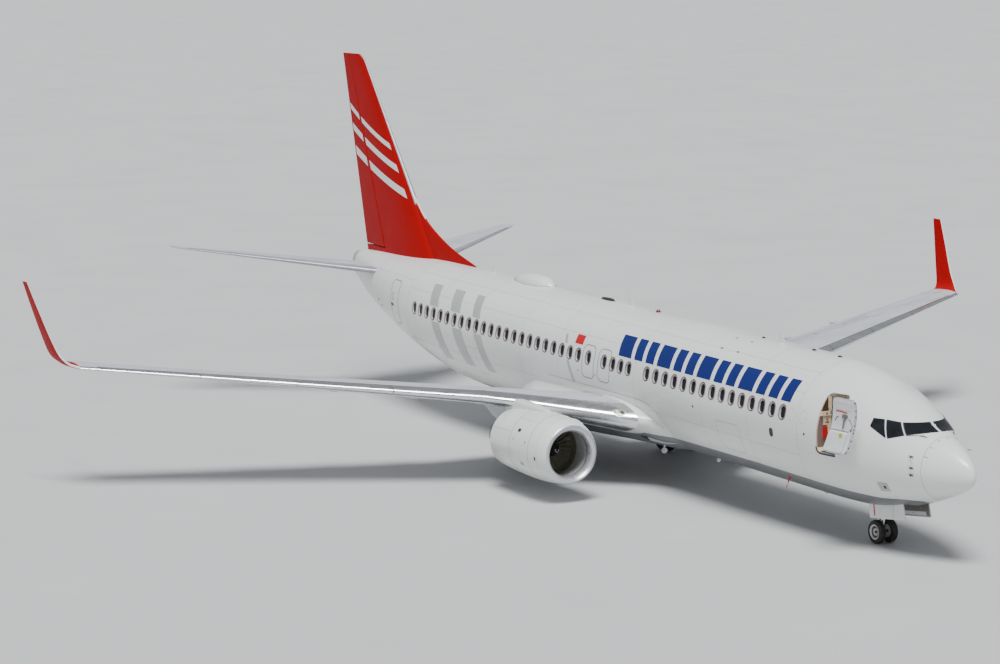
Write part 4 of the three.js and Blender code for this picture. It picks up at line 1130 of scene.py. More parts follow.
def build_tail():
    for label, side in SIDES.items():
        tail = Surface(TAILPLANE, side)
        skin_build = Build(f"stabiliser_skin_{label}", WING_GREY, EDGE_METAL)
        add_zone(skin_build, tail, TAILPLANE[0]["v"], ELEVATOR["from"], 0, 1, 0, TAIL_EDGE)
        add_cove(skin_build, tail, ELEVATOR, 0, TAIL_EDGE)
        add_zone(skin_build, tail, ELEVATOR["to"], TAILPLANE[-1]["v"], 0, 1, 0, TAIL_EDGE)
        skin_build.done("airframe", f"stabiliser_{label}", slot="grey_paint")
        elevator = Build(f"elevator_skin_{label}", WING_GREY)
        add_hinged(elevator, tail, ELEVATOR)
        elevator.done(f"elevator_{label}_body", f"elevator_{label}", slot="grey_paint")
        lines = Build(f"tailplane_lines_{label}", GAP_DARK, SEAM)
        long_lines(lines, tail, TAIL_LINES)
        for v in TAIL_RIBS:
            surface_line(lines, tail, [(v, 0.12), (v, 0.6)], 8, 1)
        lines.done("airframe", slot="grey_paint")

    fin = Surface(FIN, 1, upright=True)
    skin_build = Build("fin_skin", RED, EDGE_METAL, WHITE)
    add_zone(skin_build, fin, FIN[0]["v"], RUDDER["from"], 0, 1)
    add_cove(skin_build, fin, RUDDER, 0, FIN_EDGE["share"], FIN_EDGE["from"])
    round_corner(skin_build, fin)
    dorsal_fin(skin_build)
    strip = [Vector((station_x(s), 0, (dorsal_value("edge", s) + DORSAL_STRIP["rise"]) / 1000))
             for s in steps(DORSAL_STRIP["fore"], DORSAL_STRIP["aft"], 12)]
    skin_build.tube(strip, DORSAL_STRIP["radius"], 2, 12)
    skin_build.done("airframe", "fin", slot="red_paint")
    rudder = Build("rudder_skin", RED)
    add_hinged(rudder, fin, RUDDER)
    rudder.done("rudder_body", "rudder", slot="red_paint")
    build_fin_marks(fin)


def round_corner(build, fin):
    """Sweeps the top of the fin's leading edge back into a round corner."""
    low = FIN_CORNER["low"]
    for point in build.points:
        section = fin.section(min(point.z * 1000, FIN_TOP))
        along = (section.edge.x - point.x) / section.chord
        rise = clamp((point.z * 1000 - low) / (FIN_TOP - low), 0, 1)
        point.x -= FIN_CORNER["back"] * rise ** 2 * clamp(1 - along / FIN_CORNER["reach"], 0, 1)


def dorsal_value(column, s):
    return curve_value([row["s"] for row in DORSAL], [row[column] for row in DORSAL], s)


def dorsal_fin(build):
    rings = []
    for s in steps(DORSAL[0]["s"], DORSAL[-1]["s"], 44):
        edge, half = dorsal_value("edge", s), dorsal_value("half", s)
        ring = []
        for share in steps(0, 1, 9):
            z = lerp(DORSAL_FOOT, edge, math.sin(share * math.pi / 2))
            width = half * math.cos(share * math.pi / 2) ** 0.7
            ring.append(Vector((station_x(s), width / 1000, z / 1000)))
        rings.append(ring + [Vector((p.x, -p.y, p.z)) for p in reversed(ring[:-1])])
    build.loft(rings)


def build_fin_marks(fin):
    """Plain slanting white bars on both sides of the fin and rudder."""
    for piece in FIN_BAR_PIECES:
        bars = Build(piece["name"], WHITE)
        for bar in FIN_BARS:
            for face in (Section.upper, Section.lower):
                sheet = []
                for along in steps(piece["ahead"], piece["behind"], 10):
                    foot = bar["level"] + FIN_BAR_RISE * along
                    sheet.append([face(fin.section(v), along, 0.003)
                                  for v in steps(foot, foot + bar["thick"], 3)])
                bars.grid(sheet)
        bars.done(piece["body"], slot="white_paint")


# Wing to body fairing
FAIRING = rows(["s", "half", "bottom", "shoulder", "power"], [
    [12300, 450, 1500, 1750, 1],
    [13000, 1140, 1290, 1950, 1],
    [14200, 1750, 1160, 2060, 1.05],
    [16000, 1940, 1130, 2070, 0.98],
    [18500, 2010, 1080, 2050, 0.75],
    [21000, 2020, 1080, 2000, 0.68],
    [22300, 1700, 1130, 1900, 0.68],
    [23500, 1000, 1270, 1750, 0.68],
])
# The fairing's upper edge on the body: station and level over the cabin axis.
FAIRING_EDGE = [
    (13186, -1408), (13205, -1250), (13266, -1090), (13400, -925), (13579, -784), (13857, -636),
    (14100, -560), (14281, -522), (14600, -502), (14936, -500), (15495, -505), (17000, -520),
    (18500, -535), (20200, -550),
]
# Places in a fairing ring: its grey bottom, the long seam, and the stretch that a ring seam covers.
RING_BOTTOM = (7, 39)
RING_SEAM = 7
RING_STRETCH = (2, 24)
FAIRING_SEAMS = [14200, 16000, 18200, 21000, 22300]
WELL_FLOOR = 800
WHEEL_WELL = {"y": 950, "radius": 640, "roof": 1900}
# The slot for the leg beside each wheel well.
WELL_SLOT = {"half": 170, "inner": 1300, "outer": 3100, "roof": 2050}


def fairing_ring(s):
    places = [row["s"] for row in FAIRING]
    half, bottom, shoulder, power = [curve_value(places, [row[c] for row in FAIRING], s)
                                     for c in ("half", "bottom", "shoulder", "power")]
    outline = [(half * 0.86, shoulder + 550), (half * 0.93, shoulder + 275)]
    for angle in [0, 0.02] + steps(math.pi / 40, math.pi / 2, 19):
        outline.append((half * max(math.cos(angle), 0) ** power,
                        shoulder - (shoulder - bottom) * math.sin(angle) ** power))
    outline += [(-y, z) for y, z in reversed(outline[:-1])]
    return [Vector((station_x(s), y / 1000, z / 1000)) for y, z in outline]


def fairing_point(s, z, side, lift):
    """A point of the fairing's side at a height, lifted off it."""
    ring = fairing_ring(s)
    half = ring[len(ring) // 2::-1]
    y = curve_value([p.z for p in half], [p.y for p in half], z / 1000) + lift / 1000
    return Vector((station_x(s), side * y, z / 1000 - lift / 3000))


def fairing_quad(build, corners, side, index, lift):
    """A patch of the fairing's side between four (station, height) corners."""
    a, b, c, d = corners
    sheet = []
    for u in steps(0, 1, 10):
        line = []
        for v in steps(0, 1, 5):
            s, z = [lerp(lerp(a[i], b[i], u), lerp(d[i], c[i], u), v) for i in (0, 1)]
            line.append(fairing_point(s, z, side, lift))
        sheet.append(line)
    build.grid(sheet, index)


# The air duct on the fairing's side: finish, lift, and corners as station and height.
DUCT = rows(["finish", "lift", "corners"], [
    [1, 12, [(14400, 1660), (13900, 1580), (13760, 1485), (14500, 1510)]],
    [2, 14, [(13900, 1575), (13351, 1572), (13400, 1545), (13740, 1487)]],
    [3, 16, [(14826, 1632), (14400, 1680), (14500, 1500), (14640, 1540)]],
])
FAIRING_LAMP = {"s": 14117, "z": 1414, "sink": -40}
FAIRING_LAMP_PROFILE = [(-40, 60), (-30, 88), (20, 98), (34, 96), (34, 84), (22, 3)]


def build_fairing():
    stations = steps(12300, 14200, 14) + steps(14200, 21000, 10)[1:] + steps(21000, 23500, 12)[1:]
    made = Build("belly_fairing", WHITE, BARREL_GREY, BELLY_GREY_AND_SHADE)
    made.loft([fairing_ring(s) for s in stations],
              index_of=lambda i, j: 2 if RING_BOTTOM[0] <= j < RING_BOTTOM[1] else 0)
    skin_piece = made.done("airframe", "wing_body_fairing", slot="white_paint")
    x = station_x(MAIN_GEAR_STATION)
    half, floor, roof = [value / 1000 for value in (WELL_SLOT["half"], WELL_FLOOR, WELL_SLOT["roof"])]
    radius = WHEEL_WELL["radius"]
    for side in SIDES.values():
        well = Build("well_cutter", BARREL_GREY)
        centre = (x, side * WHEEL_WELL["y"] / 1000, floor)
        well.lathe([(0, radius), (WHEEL_WELL["roof"] - WELL_FLOOR, radius)], centre, (0, 0, 1), 48)
        cut(skin_piece, well)
        slot = Build("well_slot_cutter", BARREL_GREY)
        ends = sorted([side * WELL_SLOT["inner"] / 1000, side * WELL_SLOT["outer"] / 1000])
        slot.block((x - half, ends[0], floor), (x + half, ends[1], roof))
        cut(skin_piece, slot)

    lines = Build("fairing_lines", SEAM, WING_GREY, BAND_GREY, BLACK_TRIM)
    for side in SIDES.values():
        build_fairing_lines(lines, side)
    lines.done("airframe", slot="grey_paint")


def build_fairing_lines(lines, side):
    path = []
    for s in steps(13200, 22600, 40):
        ring = fairing_ring(s)
        place = ring[RING_SEAM] if side > 0 else ring[-1 - RING_SEAM]
        path.append((place + Vector((0, side * 0.003, -0.001)), Vector((0, side, -0.3)).normalized()))
    lines.ribbon(path, 9)
    first, last = RING_STRETCH
    for s in FAIRING_SEAMS:
        ring = fairing_ring(s)
        half = ring[first:last] if side > 0 else ring[-last:-first]
        out = Vector((0, side * 0.7, -0.7))
        lines.ribbon([(p + Vector((0, side * 0.002, -0.002)), out) for p in half], 9)
    lines.ribbon([on_skin(s, level, side, 3) for s, level in FAIRING_EDGE], 18)
    for row in DUCT:
        fairing_quad(lines, row["corners"], side, row["finish"], row["lift"])
    foot = fairing_point(FAIRING_LAMP["s"], FAIRING_LAMP["z"], side, FAIRING_LAMP["sink"])
    lines.tube([foot, foot + Vector((-0.01, side * 0.02, -0.14))], [34, 30], 1, 12)
    aim = Vector((0.9, side * 0.15, -0.25)).normalized()
    lines.lathe(FAIRING_LAMP_PROFILE, foot + Vector((-0.01, side * 0.02, -0.2)), aim, 28, 1)


# Engines
# Outlines as station and radius. The nacelle's runs from its rear edge over the outside to the lip,
# which is the point of that number, then back along the duct's wall.
NACELLE_OUTLINE = [
    (17000, 930), (16300, 1005), (15600, 1040), (14900, 1062), (14420, 1050), (13950, 1010),
    (13720, 965), (13580, 915), (13515, 865), (13500, 815), (13530, 775), (13600, 730), (13750, 694),
    (13950, 710), (14150, 745), (14420, 778), (15000, 800), (15600, 850), (16300, 900), (17000, 915),
]
LIP_POINT = 9
NACELLE_OUTER = sorted(NACELLE_OUTLINE[:LIP_POINT + 1])
NACELLE_INNER = NACELLE_OUTLINE[LIP_POINT:]
CORE_FRONT = 15220
CORE_OUTLINE = [(CORE_FRONT, 400), (15400, 520), (16000, 600), (16900, 620), (17500, 540), (18000, 425)]
NOZZLE_OUTLINE = [(18000, 395), (17800, 400), (17800, 330), (18000, 290), (18300, 150), (18520, 3)]
FLAT_BOTTOM = 0.95
HIGH_TOP = 1.05
# Where the polished lip ends outside and inside, the band round the fan, and the core's painted front.
LIP_OUTSIDE = 13540
LIP_INSIDE = 13790
FAN_BAND = (14530, 14840)
CORE_PAINT_END = 16980
STRAKE_ANGLE = math.radians(48)
STRAKE = rows(["s", "reach"], [[13970, 2], [14250, 70], [14600, 130], [14900, 140], [14960, 2]])
VANE_COUNT = 44
VANE_RADII = [500, 660, 845]
# A vane's section: station and angle.
VANE_SECTION = [(15400, 0), (15490, 0.048), (15590, 0.06), (15490, 0.024)]
PYLON_RIDGE = 20
PYLON_GREY_START = 17300
PYLON = rows(["s", "half", "top", "bottom"], [
    [14650, 30, 1075, 900],
    [15100, 130, 1180, 900],
    [15900, 190, 1230, 560],
    [17000, 200, 1260, 560],
    [18000, 170, 1200, 480],
    [18700, 120, 1120, 700],
    [19700, 30, 1080, 1010],
])
FAN = {"blades": 24, "hub": 230, "front": 14720, "rear": 15120, "spinner_tip": 14330}
FAN_BLADE = rows(["radius", "pitch", "chord", "half"], [
    [190, 25, 300, 14],
    [350, 36, 312, 12],
    [500, 46, 325, 10],
    [640, 55, 338, 7],
    [768, 62, 350, 5],
])
# A blade's section: places along the chord and off it, both as shares.
BLADE_SECTION = [(-0.5, 0.15), (-0.25, 0.75), (0, 1), (0.25, 0.8), (0.5, 0.15),
                 (0.5, -0.15), (0.25, -0.8), (0, -1), (-0.25, -0.75), (-0.5, -0.15)]
SPIRAL = {"start": 30, "end": 88, "turn": 5.4, "lift": 4, "width": 18}


def smooth_path(points, count):
    """Points along a smooth curve through (station, radius) pairs."""
    length = path_lengths(points)
    return [tuple(curve_value(length, [p[k] for p in points], u) for k in (0, 1))
            for u in steps(0, length[-1], count)]


def engine_point(s, radius, angle, y, shaped=True):
    share = clamp((radius - 800) / 200, 0, 1) if shaped else 0
    scale = lerp(1, FLAT_BOTTOM if math.cos(angle) < 0 else HIGH_TOP, share)
    return Vector((station_x(s), (y + radius * math.sin(angle)) / 1000,
                   (ENGINE_Z + radius * math.cos(angle) * scale) / 1000))


def engine_ring(s, radius, y, sides=80, shaped=True):
    return [engine_point(s, radius, a, y, shaped) for a in steps(0, 2 * math.pi, sides)[:-1]]


def outer_radius(s):
    return curve_value([p[0] for p in NACELLE_OUTER], [p[1] for p in NACELLE_OUTER], s)


def inner_radius(s):
    return curve_value([p[0] for p in NACELLE_INNER], [p[1] for p in NACELLE_INNER], s)


def build_engine(label):
    side = SIDES[label]
    y = side * ENGINE_Y
    build_nacelle(label, side, y)
    build_core(label, y)
    build_fan(label, y)
    build_pylon(label, side, y)
    build_engine_lines(label, y)


def build_nacelle(label, side, y):
    front = smooth_path(NACELLE_OUTLINE[:LIP_POINT + 1], 120)
    outline = front + smooth_path(NACELLE_INNER, 70)[1:]
    cowl = Build(f"nacelle_{label}", WHITE, LIP_METAL, BARREL_GREY, FAN_CASE)

    def finish(i, j):
        s = outline[min(i, len(outline) - 1)][0]
        if i < len(front) - 1:
            return 1 if s < LIP_OUTSIDE else 0
        if FAN_BAND[0] < s < FAN_BAND[1]:
            return 3
        return 1 if s < LIP_INSIDE else 2

    rings = [engine_ring(s, radius, y) for s, radius in outline]
    cowl.loft(rings + rings[:1], capped=False, index_of=finish)
    angle = -side * STRAKE_ANGLE
    strake = []
    for row in STRAKE:
        radius = outer_radius(row["s"])
        foot = engine_point(row["s"], radius - 12, angle, y)
        outward = (engine_point(row["s"], radius + 100, angle, y) - foot).normalized()
        across = outward.cross(Vector((1, 0, 0))).normalized()
        tip = foot + outward * (row["reach"] + 12) / 1000
        wide, thin = across * 0.012, across * 0.004
        strake.append([foot + wide, tip + thin, tip - thin, foot - wide])
    cowl.loft(strake)
    cowl.done("airframe", f"engine_inlet_{label}", f"fan_cowl_{label}", f"reverser_sleeve_{label}",
              slot="white_paint")


def build_core(label, y):
    core = Build(f"engine_core_skin_{label}", HOT_METAL, DARK_METAL, BARREL_GREY)
    outline = [(CORE_FRONT, 3)] + smooth_path(CORE_OUTLINE, 30) + NOZZLE_OUTLINE
    gap = range(32, 34)
    core.loft([engine_ring(s, radius, y, 56, False) for s, radius in outline],
              index_of=lambda i, j: 2 if outline[i][0] < CORE_PAINT_END else 1 if i in gap else 0)
    for k in range(VANE_COUNT):
        turn = 2 * math.pi * k / VANE_COUNT
        core.loft([[engine_point(s, radius, turn + shift, y, False) for s, shift in VANE_SECTION]
                   for radius in VANE_RADII], 2)
    core.done("airframe", f"engine_core_{label}", slot="hot_metal")


def blade_ring(row, turn, y):
    """A fan blade's section at one radius, pitched and bent round the axis."""
    pitch = math.radians(row["pitch"])
    middle = (FAN["front"] + FAN["rear"]) / 2
    ring = []
    for along, thick in BLADE_SECTION:
        a, b = along * row["chord"], thick * row["half"]
        aft = a * math.cos(pitch) - b * math.sin(pitch)
        around = a * math.sin(pitch) + b * math.cos(pitch)
        ring.append(engine_point(middle + aft, row["radius"], turn + around / row["radius"], y, False))
    return ring


def build_fan(label, y):
    fan = Build(f"fan_rotor_skin_{label}", FAN_METAL, BLACK_TRIM, WHITE)
    tip, root = FAN["spinner_tip"], FAN["hub"] + 40
    cone = [(tip, 2), (tip + 100, 70), (tip + 240, 160), (FAN["front"], FAN["hub"])]
    spinner = smooth_path(cone + [(FAN["rear"], root)], 24) + [(CORE_FRONT - 4, root)]
    fan.loft([engine_ring(s, radius, y, 40, False) for s, radius in spinner],
             index_of=lambda i, j: 1 if spinner[i][0] < FAN["front"] else 0)
    for k in range(FAN["blades"]):
        turn = 2 * math.pi * k / FAN["blades"]
        fan.loft([blade_ring(row, turn, y) for row in FAN_BLADE])
    curl = []
    for t in steps(0, 1, 30):
        s = tip + lerp(SPIRAL["start"], SPIRAL["end"], t)
        radius = curve_value([p[0] for p in cone], [p[1] for p in cone], s) + SPIRAL["lift"]
        point = engine_point(s, radius, SPIRAL["turn"] * t, y, False)
        outward = (point - engine_point(s + 120, 0, 0, y, False)).normalized()
        curl.append((point, outward))
    fan.ribbon(curl, SPIRAL["width"], 2)
    fan.done(f"fan_rotor_{label}", f"fan_{label}", slot="fan_metal")


def pylon_row(s):
    places = [row["s"] for row in PYLON]
    return {c: curve_value(places, [row[c] for row in PYLON], s) for c in ("half", "top", "bottom")}


def build_pylon(label, side, y):
    section = Surface(WING, side, WING_CAMBER).section(ENGINE_Y)
    edge_s = LENGTH / 2 - section.edge.x * 1000
    pylon = Build(f"pylon_skin_{label}", WHITE, WING_GREY)
    rings = []
    stations = steps(PYLON[0]["s"], PYLON[-1]["s"], 40)
    for s in stations:
        row = pylon_row(s)
        top, bottom, half = row["top"] + PYLON_RIDGE, row["bottom"] - PYLON_RIDGE, row["half"]
        if s > edge_s + 250:
            along = clamp((s - edge_s) / 1000 / section.chord, 0, 0.9)
            top = min(top, section.point(along).z * 1000 - ENGINE_Z)
        bottom = min(bottom, top - 40)
        ring = []
        for angle in steps(0, 2 * math.pi, 28)[:-1]:
            dy = half * math.copysign(abs(math.sin(angle)) ** 0.45, math.sin(angle))
            dz = (top - bottom) / 2 * math.copysign(abs(math.cos(angle)) ** 0.45, math.cos(angle))
            z = ENGINE_Z + (top + bottom) / 2 + dz
            ring.append(Vector((station_x(s), (y + dy) / 1000, z / 1000)))
        rings.append(ring)
    pylon.loft(rings, index_of=lambda i, j: 1 if stations[i] > PYLON_GREY_START else 0)
    pylon.done("airframe", f"pylon_{label}", slot="white_paint")


COWL_LIFT = 2.5
BARREL_LIFT = 7
COWL_RINGS = rows(["s", "width", "finish"], [[14420, 9, 0], [15600, 12, 0], [13950, 6, 1]])
COWL_RUNS = rows(["start", "end", "angle", "width", "finish"], [
    [14420, 16950, math.pi, 14, 0],
    [14420, 15600, 0.62, 9, 1],
    [14420, 15600, -0.62, 9, 1],
    [15640, 16900, 1.1, 8, 1],
    [15640, 16900, -1.1, 8, 1],
])
# Small plates and openings on both sides of the cowls, their angles measured from the top.
COWL_PATCHES = rows(["fore", "aft", "from", "to", "finish"], [
    [14760, 14960, 1.9, 2.02, 1],
    [14600, 14640, 1.25, 1.32, 2],
    [15350, 15390, 1.25, 1.32, 2],
    [15080, 15250, 0.95, 1.05, 3],
    [13990, 14060, 1.62, 1.74, 3],
])
LATCHES = {"first": 14500, "pitch": 230, "count": 5, "length": 100, "half_angle": 0.05, "lift": 5}
BARREL_RINGS = rows(["s", "width", "finish"], [[13790, 16, 0], [14380, 26, 4]])
BARREL_SEAMS = {"fore": 13810, "aft": 14400, "angles": [-1.65, 1.65, 0.1, 3.0], "width": 26, "finish": 4}


def cowl_path(places, y):
    """A path on the cowls through (station, angle) pairs, just clear of them."""
    path = []
    for s, angle in places:
        point = engine_point(s, outer_radius(s) + COWL_LIFT, angle, y)
        path.append((point, (point - engine_point(s, 0, 0, y)).normalized()))
    return path


def barrel_path(places, y):
    """The same on the inlet's inner wall."""
    path = []
    for s, angle in places:
        point = engine_point(s, inner_radius(s) - BARREL_LIFT, angle, y, False)
        path.append((point, (engine_point(s, 0, 0, y) - point).normalized()))
    return path


def cowl_patch(build, fore, aft, start, end, y, index, lift):
    build.grid([[engine_point(s, outer_radius(s) + lift, a, y) for a in steps(start, end, 6)]
                for s in steps(fore, aft, 4)], index)


def build_engine_lines(label, y):
    lines = Build(f"nacelle_lines_{label}", GAP_DARK, SEAM, RED_MARK, BLACK_TRIM, WING_GREY)
    circle = steps(-math.pi, math.pi, 72)
    for row in COWL_RINGS:
        lines.ribbon(cowl_path([(row["s"], a) for a in circle], y), row["width"], row["finish"])
    for row in COWL_RUNS:
        places = [(s, row["angle"]) for s in steps(row["start"], row["end"], 24)]
        lines.ribbon(cowl_path(places, y), row["width"], row["finish"])
    for row in BARREL_RINGS:
        lines.ribbon(barrel_path([(row["s"], a) for a in circle], y), row["width"], row["finish"])
    seams = BARREL_SEAMS
    for angle in seams["angles"]:
        places = [(s, angle) for s in steps(seams["fore"], seams["aft"], 12)]
        lines.ribbon(barrel_path(places, y), seams["width"], seams["finish"])
    half = LATCHES["half_angle"]
    for k in range(LATCHES["count"]):
        fore = LATCHES["first"] + LATCHES["pitch"] * k
        aft = fore + LATCHES["length"]
        cowl_patch(lines, fore, aft, math.pi - half, math.pi + half, y, 1, LATCHES["lift"])
    for row in COWL_PATCHES:
        for sign in (1, -1):
            start, end = sign * row["from"], sign * row["to"]
            cowl_patch(lines, row["fore"], row["aft"], start, end, y, row["finish"], COWL_LIFT)
    lines.done("airframe", slot="grey_paint")


# Landing gear
WHEELS = {
    "nose": {"radius": 343, "width": 200, "rim": 190, "spacing": 420, "axle": 38, "bulge": 45, "bolts": 8},
    "main": {"radius": 565, "width": 420, "rim": 280, "spacing": 860, "axle": 75, "bulge": 90, "bolts": 12},
}
# The tyre's outline over its widest place, as shares of half its width and of its bulge.
TYRE_SHOULDER = [(0.985, 1.25), (0.93, 0.8), (0.82, 0.4), (0.66, 0.16), (0.5, 0.04)]
GROOVES = [-0.4, -0.13, 0.13, 0.4]
BRAKE_PISTONS = 9
STEERING_LEVEL = 1010


def tyre_profile(wheel):
    """Half widths and radii from the inner bead over the tread to the outer bead, with its grooves."""
    r, w, rim, b = wheel["radius"], wheel["width"] / 2, wheel["rim"], wheel["bulge"]
    shoulder = r - b * 1.6
    wall = [(-0.8 * w, rim), (-0.93 * w, lerp(rim, shoulder, 0.35)), (-w, lerp(rim, shoulder, 0.85))]
    wall += [(-wide * w, r - b * deep) for wide, deep in TYRE_SHOULDER]
    tread = []
    half, deep = 0.028 * w, 0.16 * b
    for groove in GROOVES:
        middle = groove * w
        tread += [(middle - half, r), (middle - half * 0.8, r - deep)]
        tread += [(middle + half * 0.8, r - deep), (middle + half, r)]
    return wall + tread + [(-a, radius) for a, radius in reversed(wall)]


def ring_of_studs(build, centre, outward, radius, across, count, shift, profile, sides, index):
    """Turned pieces round an axle at a radius, the first one shifted from the top by an angle."""
    for k in range(count):
        angle = 2 * math.pi * k / count + shift
        offset = Vector((radius * math.sin(angle), outward * across, radius * math.cos(angle))) / 1000
        build.lathe(profile, Vector(centre) + offset, (0, 1, 0), sides, index)


def build_wheel(name, wheel, centre, outward, body, tyre_node, hub_node):
    w, rim = wheel["width"] / 2, wheel["rim"]
    inside = [(0.7 * w, rim - 12), (-0.7 * w, rim - 12)]
    tyre = Build(f"{name}_tyre", RUBBER, sharp=40)
    tyre.lathe(tyre_profile(wheel) + inside, centre, (0, 1, 0), 96, closed=True)
    tyre.done(body, tyre_node, slot="tyre")

    hub = Build(f"{name}_hub", HUB_WHITE, DARK_METAL, CHROME)
    bore = wheel["axle"] + 2
    face = [(0.2 * w, bore), (0.22 * w, bore + 30), (0.3 * w, rim * 0.45), (0.5 * w, rim * 0.6),
            (0.62 * w, rim * 0.78), (0.7 * w, rim * 0.88), (0.8 * w, rim * 0.92), (0.84 * w, rim * 0.97),
            (0.78 * w, rim - 1), (-0.78 * w, rim - 1), (-0.78 * w, rim * 0.9), (-0.4 * w, rim * 0.85),
            (-0.55 * w, bore)]
    flange = [(0.79 * w, rim - 4), (0.86 * w, rim - 2), (0.99 * w, rim * 1.13), (0.97 * w, rim * 1.16),
              (0.9 * w, rim * 1.15)]
    hub.lathe([(a * outward, r) for a, r in face], centre, (0, 1, 0), 64, closed=True,
              index_of=lambda i, j: 1 if i in (3, 4) else 0)
    hub.lathe([(a * outward, r) for a, r in flange], centre, (0, 1, 0), 64, closed=True)
    count = wheel["bolts"]
    bolt = [(-8, rim * 0.052), (outward * rim * 0.12, rim * 0.052)]
    hole = [(-4, rim * 0.065), (outward * 4, rim * 0.065)]
    ring_of_studs(hub, centre, outward, rim * 0.53, 0.4 * w, count, 0, bolt, 6, 2)
    ring_of_studs(hub, centre, outward, rim * 0.72, 0.575 * w, count, math.pi / count, hole, 14, 1)
    hub.done(body, hub_node, slot="gear_paint")


def build_wheel_pair(prefix, name, wheel, x, y, body):
    for place, side in SIDES.items():
        centre = (x, (y + side * wheel["spacing"] / 2) / 1000, wheel["radius"] / 1000)
        nodes = [f"{prefix}_{part}_{place}" for part in ("tyre", "hub")]
        build_wheel(f"{name}_{place}", wheel, centre, side, body, *nodes)


def add_link(build, top, bottom, width_top, width_bottom, thickness, index=0):
    """A flat forged link between two points, with its width across the aircraft."""
    a, b = Vector(top), Vector(bottom)
    along = (b - a).normalized()
    depth = along.cross(Vector((0, 1, 0))).normalized() * thickness / 2000
    waist = (width_top + width_bottom) * 0.42
    rings = []
    for point, width in ((a, width_top), (a.lerp(b, 0.5), waist), (b, width_bottom)):
        across = Vector((0, width / 2000, 0))
        near, far = point + depth, point - depth
        rings.append([near + across, near - across, far - across, far + across])
    build.loft(rings, index)


def build_nose_gear():
    x = station_x(NOSE_GEAR_STATION)
    wheel = WHEELS["nose"]
    strut = Build("nose_strut", GEAR_PAINT, CHROME, BLACK_TRIM, LAMP_GLASS)
    barrel = [(0, 84), (10, 95), (60, 97), (70, 88), (520, 88), (540, 96), (700, 96), (720, 86), (1238, 86)]
    strut.lathe(barrel, (x, 0, STEERING_LEVEL / 1000), (0, 0, 1), 40)
    strut.tube([(x + 0.03, 0, 1.75), (x + 0.85, 0, 2.18)], 42, 0, 16)
    strut.tube([(x, -0.3, 2.2), (x, 0.3, 2.2)], 48, 0, 20)
    for side in SIDES.values():
        strut.tube([(x + 0.02, side * 0.11, 1.3), (x + 0.3, side * 0.2, 2.15)], 24, 0, 10)
        strut.tube([(x - 0.04, side * 0.1, 1.08), (x - 0.04, side * 0.1, 1.5)], 30, 1, 14)
        hose = [(x - 0.1, side * 0.05, 1.02), (x - 0.13, side * 0.06, 1.4), (x - 0.1, side * 0.06, 1.9)]
        strut.tube(hose, 9, 2, 8)
    strut.lathe([(0, 2), (2, 66), (45, 72), (52, 66), (60, 2)], (x + 0.09, 0, 1.42), (1, 0, 0), 28, 3,
                index_of=lambda i, j: 0 if i < 2 else 3)
    strut.done("airframe", "nose_gear_strut", slot="gear_paint")

    fork = Build("nose_fork_skin", CHROME, GEAR_PAINT, BLACK_TRIM)
    axle = (x, 0, wheel["radius"] / 1000)
    fork.lathe([(0, 50), (20, 62), (90, 62), (100, 58), (679, 58)], (x, 0, 0.33), (0, 0, 1), 32)
    fork.lathe([(-62, 60), (-50, 72), (50, 72), (62, 60)], axle, (0, 1, 0), 28, 1)
    fork.lathe([(-274, 30), (-268, 36), (268, 36), (274, 30)], axle, (0, 1, 0), 28, 2)
    fork.lathe([(0, 62), (8, 74), (50, 74), (58, 62)], (x, 0, 0.86), (0, 0, 1), 28, 1)
    add_link(fork, (x - 0.06, 0, 0.9), (x - 0.17, 0, 0.65), 110, 60, 34, 1)
    add_link(fork, (x - 0.17, 0, 0.65), (x - 0.04, 0, 0.42), 60, 100, 34, 1)
    fork.tube([(x - 0.17, -0.045, 0.65), (x - 0.17, 0.045, 0.65)], 24, 0, 14)
    fork.tube([(x + 0.05, -0.06, 0.36), (x + 0.09, 0, 0.33), (x + 0.05, 0.06, 0.36)], 14, 1, 8)
    fork.done("nose_fork", "nose_gear_fork", slot="polished_metal")
    build_wheel_pair("nose", "nose_wheel", wheel, x, 0, "nose_wheels")


